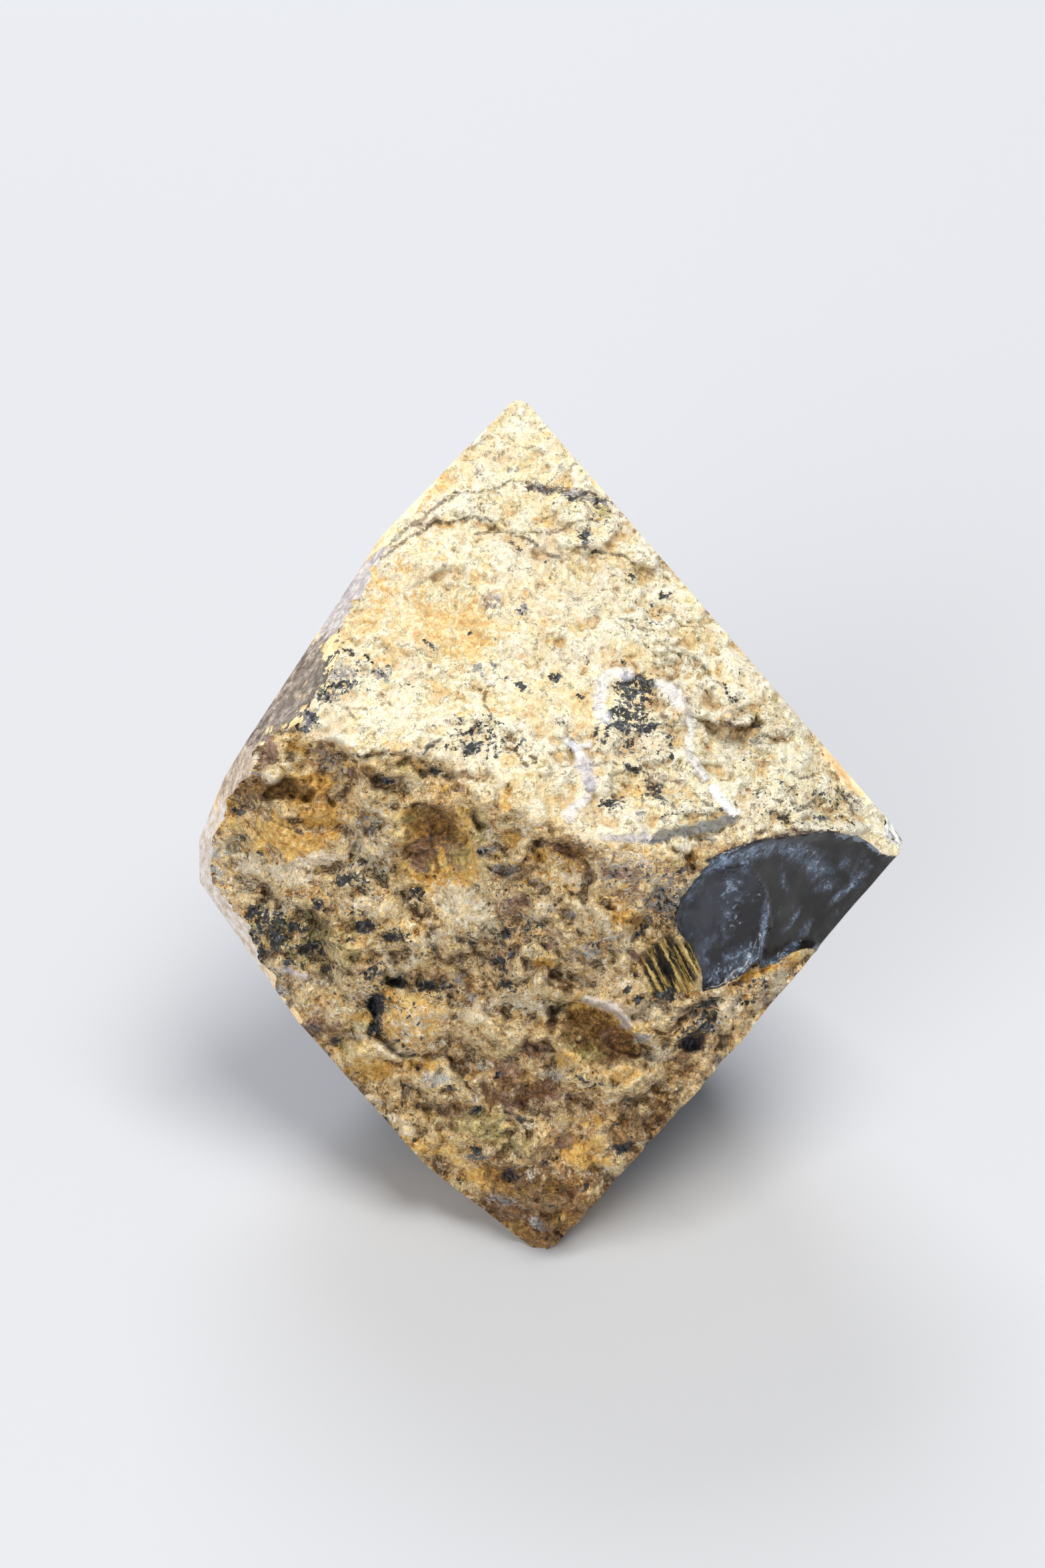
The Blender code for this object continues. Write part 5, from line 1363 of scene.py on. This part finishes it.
    # Thin broken cracks between the scales, and short dark streaks above the ridge that are painted shade
    # under the flakes.
    nudge = add_node(tree, "CombineXYZ", None, {0: broad_r, 1: broad_g, 2: broad_b})
    wavy = add_node(tree, "VectorMath", TIMES_PLUS, {0: nudge, 1: (0.9, 0.9, 0.9), 2: bent})
    plates = add_node(
        tree, "TexVoronoi", {"feature": "DISTANCE_TO_EDGE"}, {"Vector": wavy, "Scale": 1.0 / SCALE_SIZE}
    )
    crack = add_node(tree, "MapRange", None, {0: plates, 1: 0.04, 2: 0.014})
    broken = add_node(tree, "MapRange", SMOOTH, {0: close_g, 1: 0.45, 2: 0.75, 4: 0.7})
    crack = add_node(tree, "Math", TIMES, {0: crack, 1: broken})
    colour = stained(tree, colour, crack, upper, ((0.2, "#4a3019"), (0.8, "#7d5228")))
    # Painted shade under the flakes, as short dark streaks.
    flake_shade = add_node(tree, "MapRange", None, {0: flaked, 1: 0.38, 2: 0.34, 4: 0.22})
    colour = stained(tree, colour, add_node(tree, "Math", TIMES, {0: flake_shade, 1: upper}), "#a8753c")

    # Stains and grains that have a place of their own, iron first: golden below the ridge and ochre above.
    iron = stained(tree, "#000000", 1.0, mixed, (
        (0.05, "#7a4a14"), (0.35, "#cc923c"), (0.65, look.iron), (0.9, "#fadf9c"),
    ))
    ochre = stained(tree, "#000000", 1.0, close_g, ((0.1, "#d59a4a"), (0.4, "#f0c67c"), (0.75, "#fce6b0")))
    rust = ragged(tree, mark["rust"], broad_r, 0.8, 0.16, 0.85)
    colour = stained(tree, colour, rust, stained(tree, iron, upper, ochre))
    for name, fray, spread, softness, strength, tone, stops in (
        ("mauve", broad_g, 0.8, 0.14, 0.82, close_b, (
            (0.15, "#5f423a"), (0.5, "#94705f"), (0.85, "#bfa294"),
        )),
        # Darker brown, partly earthy stain and partly painted shade in hollows, under overhangs and towards
        # the lower corner.
        ("umber", broad_b, 0.7, 0.2, 0.8, close_r, (
            (0.15, "#2e1a09"), (0.5, "#66421e"), (0.85, "#a6763e"),
        )),
        ("olive", broad_b, 0.8, 0.16, 0.7, close_g, (
            (0.15, "#6f6230"), (0.5, "#bfae68"), (0.85, "#e2d9a2"),
        )),
        ("pale", close_g, 0.9, 0.14, 0.8, close_b, ((0.15, "#e6cd9c"), (0.75, "#fffaec"))),
    ):
        patches = ragged(tree, mark[name], fray, spread, softness, strength)
        colour = stained(tree, colour, patches, tone, stops)
    glassy = ragged(tree, mark["glassy"], close_b, 0.9, 0.1)
    colour = stained(tree, colour, glassy, broad_r, ((0.15, "#6d7078"), (0.5, "#a19d9a"), (0.85, "#cfccca")))

    # The fibrous inclusion: golden and olive strands with black between them.
    combed_place = add_node(tree, "Mix", {"data_type": "VECTOR"}, {0: 0.3, 4: place, 5: bent}).outputs[1]
    strands = combed(tree, combed_place, FIBRE_TURN, FIBRE_LENGTH, FIBRE_STEP)
    strand_tone = stained(tree, "#000000", 1.0, strands, (
        (0.44, "#0c0a07"), (0.49, "#241d0e"), (0.51, "#8a743a"), (0.57, "#bfa25a"), (0.65, "#e2d096"),
    ))
    colour = stained(tree, colour, mark["fibrous"], strand_tone)

    # Manganese, dark threads, and the walls of chalcedony, grey to white.
    specks = add_node(tree, "Mix", None, {0: 0.22, 2: close_r, 3: broad_b})
    present = add_node(tree, "MapRange", None, {0: mark["black"], 1: 0.02, 2: 0.1})
    black = ragged(tree, mark["black"], specks, 1.35, 0.03, 0.96)
    black = add_node(tree, "Math", TIMES, {0: black, 1: present})
    colour = stained(tree, colour, black, close_g, (
        (0.3, look.manganese), (0.6, "#2b323e"), (0.85, "#66717f"),
    ))
    line = add_node(tree, "Math", TIMES_PLUS, {0: close_b, 1: 0.24, 2: mark["thread"]})
    line = add_node(tree, "MapRange", None, {0: line, 1: 1.0, 2: 1.14, 4: 0.85})
    line = add_node(tree, "Math", TIMES, {0: line, 1: mark["thread_tone"]})
    colour = stained(tree, colour, line, broad_g, ((0.3, "#5a3d22"), (0.7, "#3b3e46")))
    rim_shift = add_node(tree, "Math", TIMES_PLUS, {0: close_g, 1: 0.16, 2: -0.08})
    rim = add_node(tree, "Math", None, {0: mark["rim"], 1: rim_shift})
    rim = add_node(tree, "MapRange", SMOOTH, {0: rim, 1: 0.34, 2: 1.0, 4: 0.68}).outputs[0]
    clear = add_node(tree, "MapRange", None, {0: mark["rim_tone"], 1: 0.2, 2: 0.6, 3: 1.3, 4: 1.0})
    clear = add_node(tree, "Math", TIMES, {0: rim, 1: clear})
    colour = stained(tree, colour, clear, mark["rim_tone"], (
        (0.1, "#343a45"), (0.45, "#a09fab"), (0.75, "#b8bcc9"), (1.0, "#d2d9e8"),
    ))

    # Dark opal: brown black, greyer in the lens, with blue haze and pale wisps that are partly its own
    # colour and partly painted reflection, and specks.
    veil = add_node(tree, "Math", {"operation": "SUBTRACT"}, {0: broad_g, 1: 0.5})
    veil = add_node(tree, "Math", {"operation": "ABSOLUTE"}, {0: veil})
    veil = add_node(tree, "MapRange", None, {0: veil, 1: 0.0, 2: 0.22, 3: 1.0, 4: 0.25})
    # Blue haze, partly the opal's own colour and partly painted reflection.
    haze = ragged(tree, mark["haze"], broad_r, 0.6, 0.5, 0.9)
    haze = add_node(tree, "Math", TIMES, {0: haze, 1: veil})
    body = stained(tree, "#000000", 1.0, wide_g, ((0.2, "#0c0907"), (0.8, look.opal)))
    grey_body = stained(tree, "#000000", 1.0, wide_g, ((0.2, "#18171a"), (0.8, "#292c34")))
    opal_tone = stained(tree, body, mark["lens"], grey_body)
    opal_tone = stained(tree, opal_tone, haze, broad_b, ((0.2, "#364356"), (0.8, "#6b7c94")))
    wisps = add_node(tree, "Math", TIMES, {0: mark["haze"], 1: 0.32})
    opal_tone = stained(tree, opal_tone, ragged(tree, wisps, close_g, 0.8, 0.1, 0.5), "#93a0b3")
    opal_tone = stained(tree, opal_tone, ragged(tree, mark["pale"], close_b, 0.7, 0.06, 0.42), "#8f9db4")
    opal = ragged(tree, mark["opal"], close_g, 0.2, 0.08)
    tree.links.new(stained(tree, colour, opal, opal_tone), surface["Base Color"])

    # Gloss: a few grains glint, and what is glassy shines.
    gloss = add_node(tree, "MapRange", None, {0: cell_parts[2], 1: 0.72, 2: 0.95, 4: 0.8})
    for shine, strength in ((glassy, 0.6), (rim, 0.75), (black, 0.45), (opal, 0.85)):
        part = add_node(tree, "Math", TIMES, {0: shine, 1: strength})
        gloss = add_node(tree, "Math", {"operation": "MAXIMUM"}, {0: gloss, 1: part})
    rough = add_node(tree, "MapRange", None, {0: gloss, 3: 0.56, 4: 0.06})
    tree.links.new(rough.outputs[0], surface["Roughness"])
    surface["IOR"].default_value = CRUST_IOR

    # Grain that is finer than the mesh, smoothed away on the dark opal and the chalcedony.
    height = close
    for part, share in ((cells, -0.3), (fine, 0.35), (broad, 1.2), (crack, -0.9)):
        height = add_node(tree, "Math", TIMES_PLUS, {0: part, 1: share, 2: height})
    covering = add_node(tree, "Math", {"operation": "MAXIMUM"}, {0: opal, 1: rim})
    still = add_node(tree, "MapRange", None, {0: covering, 3: 1.0, 4: 0.04})
    height = add_node(tree, "Math", TIMES, {0: height, 1: still})
    bump = add_node(tree, "Bump", None, {"Strength": 1.0, "Distance": BUMP_HEIGHT * MM, "Height": height})
    tree.links.new(bump.outputs[0], surface["Normal"])
    return material


def polished_material():
    """Dendritic opal, lapped and polished: glossy, with a cream and tan rind near the crust, smoky grey
    and milky blue opal behind it, and black manganese that branches through both."""
    material, tree, surface, place = new_material("dendritic opal, polished")
    _, wide_r, wide_g, wide_b = cloudy(tree, place, 9.0, 4.0, 0.55)
    broad, broad_r, broad_g, broad_b = cloudy(tree, place, 3.0, 8.0, 0.7)
    _, close_r, _, _ = cloudy(tree, place, 0.9, 8.0, 0.75)

    # How far the point lies behind the crust, in millimetres, from the stone's middle outwards.
    from_middle = add_node(tree, "VectorMath", {"operation": "SUBTRACT"}, {0: place, 1: MIDDLE})
    depth, up = [
        add_node(tree, "VectorMath", {"operation": "DOT_PRODUCT"}, {0: from_middle, 1: axis}).outputs[1]
        for axis in (TOWARDS_EYE, UP_THE_FRONT)
    ]
    bulge = add_node(tree, "Math", TIMES, {0: up, 1: up})
    front = add_node(tree, "Math", TIMES_PLUS, {0: bulge, 1: -0.0065, 2: 0.5})
    behind = add_node(tree, "Math", {"operation": "SUBTRACT"}, {0: front, 1: depth})

    # Smoky and milky opal.
    smoke = add_node(tree, "Mix", None, {0: 0.3, 2: wide_r, 3: broad_r})
    colour = stained(tree, "#000000", 1.0, smoke, (
        (0.15, "#2c2a2b"), (0.34, "#454345"), (0.46, "#5f5c5b"), (0.58, "#777a80"), (0.74, "#969ba3"),
        (0.9, "#b9bcc0"),
    ))
    # Cream and tan rind, thick and thin, with rust along its inner edge.
    rind = add_node(tree, "MapRange", None, {0: behind, 1: 2.0, 2: 16.0, 3: 1.0, 4: 0.0})
    colour = stained(tree, colour, ragged(tree, rind, wide_g, 0.9, 0.16, 0.7), "#9c7d5a")
    colour = stained(tree, colour, ragged(tree, rind, wide_g, 0.9, 0.04), broad_g, (
        (0.1, "#c49a60"), (0.35, "#dfbd88"), (0.55, "#ead3a6"), (0.75, "#f0e0c0"), (0.9, "#cfc4b8"),
    ))
    # Black manganese that branches like moss from scattered centres.
    moss = add_node(tree, "MapRange", None, {0: wide_b, 1: 0.45, 2: 0.9, 4: 0.55})
    branches = add_node(tree, "Mix", None, {0: 0.45, 2: close_r, 3: broad_b})
    colour = stained(tree, colour, ragged(tree, moss, branches, 1.1, 0.04, 0.94), "#14130f")
    # Stretches of the edge with wandering borders, clear enough to hide the rest.
    borders = add_node(tree, "Mix", None, {0: 0.5, 2: wide_r, 3: broad_b})
    for middle, near, far, stops in STRETCHES:
        spot = lift(*middle) / MM
        gap = add_node(tree, "VectorMath", {"operation": "DISTANCE"}, {0: place, 1: spot}).outputs[1]
        near_it = add_node(tree, "MapRange", None, {0: gap, 1: near, 2: far, 3: 1.0, 4: 0.0})
        colour = stained(tree, colour, ragged(tree, near_it, borders, 1.0, 0.12, 0.95), close_r, stops)
    tree.links.new(colour, surface["Base Color"])
    surface["Roughness"].default_value = POLISH_ROUGHNESS
    surface["IOR"].default_value = POLISH_IOR
    ripple = add_node(tree, "Bump", None, {"Strength": 1.0, "Distance": RIPPLE_HEIGHT * MM, "Height": broad})
    tree.links.new(ripple.outputs[0], surface["Normal"])
    return material


class OpalSettings(bpy.types.PropertyGroup):
    """Sizes, colours and lights that a user would change."""

    grain: bpy.props.FloatProperty(
        name="Grain", description="Height of the crust's grain against the real one", default=1.0, min=0.0
    )
    edge_wear: bpy.props.FloatProperty(
        name="Edge wear", description="How far the crust is rubbed back at the facets, in millimetres",
        default=0.35, min=0.0, max=2.0,
    )
    cream: bpy.props.FloatVectorProperty(
        name="Cream", description="Palest host rock, above the ridge", subtype="COLOR",
        default=hex_colour("#fffef4")[:3],
    )
    iron: bpy.props.FloatVectorProperty(
        name="Iron", description="Golden iron stain", subtype="COLOR", default=hex_colour("#efc264")[:3]
    )
    manganese: bpy.props.FloatVectorProperty(
        name="Manganese", description="Black manganese flakes", subtype="COLOR",
        default=hex_colour("#0f1219")[:3],
    )
    opal: bpy.props.FloatVectorProperty(
        name="Opal", description="Dark opal that lies bare under the ridge", subtype="COLOR",
        default=hex_colour("#171412")[:3],
    )
    paper: bpy.props.FloatVectorProperty(
        name="Paper", description="Studio paper", subtype="COLOR", default=hex_colour("#a3a6ae")[:3]
    )
    key_power: bpy.props.FloatProperty(
        name="Overhead light", description="Power of the softbox above", default=25.5, min=0.0, unit="POWER"
    )
    fill_power: bpy.props.FloatProperty(
        name="Front light", description="Power of the softbox in front", default=8.0, min=0.0, unit="POWER"
    )
    backdrop_power: bpy.props.FloatProperty(
        name="Backdrop light", description="Power of the softbox behind", default=7.0, min=0.0, unit="POWER"
    )


class OPAL_OT_stone(bpy.types.Operator):
    """Cuts the stone from a rough block and gives it its crust and polish"""

    bl_idname = "opal.stone"
    bl_label = "Cut the stone"

    def execute(self, context):
        stone = rough_block()
        facets, chamfers = back_facets()
        foot = (Vector((0.0, 0.0, 0.0)), Vector((0.0, 0.0, -1.0)))
        planes = narrow_facets() + bevels() + facets + [foot] + rounded_corners() + chamfers
        only(stone)
        bpy.ops.object.mode_set(mode="EDIT")
        bpy.ops.mesh.select_mode(type="FACE")
        cut(planes)
        bpy.ops.object.mode_set(mode="OBJECT")
        mesh = stone.data
        mesh.materials.append(crust_material())
        mesh.materials.append(polished_material())
        normals = read_all(mesh.polygons, "normal")
        centres = read_all(mesh.polygons, "center")
        polished = np.zeros(len(normals), bool)
        for point, normal in planes:
            flat = normals @ np.array(normal) > SAME_FACING
            polished |= flat & (np.abs((centres - np.array(point)) @ np.array(normal)) < ON_PLANE)
        mesh.polygons.foreach_set("material_index", polished.astype(np.int32))
        mesh.polygons.foreach_set("use_smooth", ~polished)
        mesh.update()
        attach(stone, "root")
        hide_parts(STONE_NODE)
        return {"FINISHED"}


class OPAL_OT_stage(bpy.types.Operator):
    """Sets up the floor, the soft studio light and the camera"""

    bl_idname = "opal.stage"
    bl_label = "Set the stage"

    def execute(self, context):
        scene = context.scene
        look = scene.opal_settings
        scene.view_settings.view_transform = "Standard"
        bpy.ops.object.select_all(action="DESELECT")
        bpy.ops.mesh.primitive_circle_add(vertices=FLOOR_SIDES, radius=FLOOR_RADIUS, fill_type="NGON")
        floor = context.active_object
        floor.name = "studio_sweep"
        bpy.ops.object.mode_set(mode="EDIT")
        select_rim()
        turns = [math.radians(90.0 * step / SWEEP_STEPS) for step in range(SWEEP_STEPS + 1)]
        for before, after in zip(turns, turns[1:]):
            rise = SWEEP_RADIUS * (math.cos(before) - math.cos(after))
            out = FLOOR_RADIUS + SWEEP_RADIUS * math.sin(after)
            past = FLOOR_RADIUS + SWEEP_RADIUS * math.sin(before)
            raise_rim(rise)
            bpy.ops.transform.resize(value=(out / past, out / past, 1.0))
        raise_rim(WALL_HEIGHT)
        bpy.ops.object.mode_set(mode="OBJECT")
        bpy.ops.object.shade_smooth()
        paper = bpy.data.materials.new("matt studio paper")
        paper.use_nodes = True
        surface = paper.node_tree.nodes["Principled BSDF"].inputs
        surface["Base Color"].default_value = as_colour(look.paper)
        surface["Roughness"].default_value = PAPER_ROUGHNESS
        floor.data.materials.append(paper)
        for name, place, aim, size, power, colour in LIGHTS:
            add_light(name, place, aim, size, getattr(look, power), colour)
        world = bpy.data.worlds.new("studio_air")
        world.use_nodes = True
        air = world.node_tree.nodes["Background"].inputs
        air["Color"].default_value = hex_colour(AIR_COLOUR)
        air["Strength"].default_value = AIR_STRENGTH
        scene.world = world
        data = bpy.data.cameras.new("photo_camera")
        data.sensor_width = SENSOR_WIDTH
        data.lens = SENSOR_WIDTH * EYE_DISTANCE * PIXELS_PER_MM / PHOTO_SIZE[1]
        data.clip_start = SEEN_FROM
        data.clip_end = SEEN_TO
        camera = bpy.data.objects.new("photo_camera", data)
        scene.collection.objects.link(camera)
        aside = (PHOTO_SIZE[0] / 2.0 - PHOTO_MIDDLE[0]) / PIXELS_PER_MM
        raise_by = (PHOTO_MIDDLE[1] - PHOTO_SIZE[1] / 2.0) / PIXELS_PER_MM
        place = MIDDLE + ACROSS * aside + UP_THE_FRONT * raise_by + TOWARDS_EYE * EYE_DISTANCE
        camera.location = place * MM
        camera.rotation_euler = (math.radians(90.0) - LOOK_DOWN, 0.0, 0.0)
        scene.camera = camera
        return {"FINISHED"}


def add_light(name, place, aim, size, power, colour):
    """Adds a square soft light at a place, facing a point."""
    data = bpy.data.lights.new(name, "AREA")
    data.shape = "SQUARE"
    data.size = size
    data.energy = power
    data.color = hex_colour(colour)[:3]
    light = bpy.data.objects.new(name, data)
    bpy.context.scene.collection.objects.link(light)
    light.location = place
    light.rotation_euler = (Vector(aim) - Vector(place)).to_track_quat("-Z", "Y").to_euler()


class OPAL_PT_panel(bpy.types.Panel):
    """Lists the settings, and the steps that make the stone and its stage"""

    bl_label = "Opal"
    bl_idname = "OPAL_PT_panel"
    bl_space_type = "VIEW_3D"
    bl_region_type = "UI"
    bl_category = "Opal"

    def draw(self, context):
        for name in OpalSettings.__annotations__:
            self.layout.prop(context.scene.opal_settings, name)
        self.layout.operator("opal.stone")
        self.layout.operator("opal.stage")


CLASSES = (OpalSettings, OPAL_OT_stone, OPAL_OT_stage, OPAL_PT_panel)


def register():
    """Adds the operators, the panel and the settings."""
    for item in CLASSES:
        bpy.utils.register_class(item)
    bpy.types.Scene.opal_settings = bpy.props.PointerProperty(type=OpalSettings)


def unregister():
    """Takes them away again."""
    del bpy.types.Scene.opal_settings
    for item in reversed(CLASSES):
        bpy.utils.unregister_class(item)


def main():
    """Makes the stone and the stage."""
    register()
    bpy.ops.opal.stone()
    bpy.ops.opal.stage()


if __name__ == "__main__":
    main()
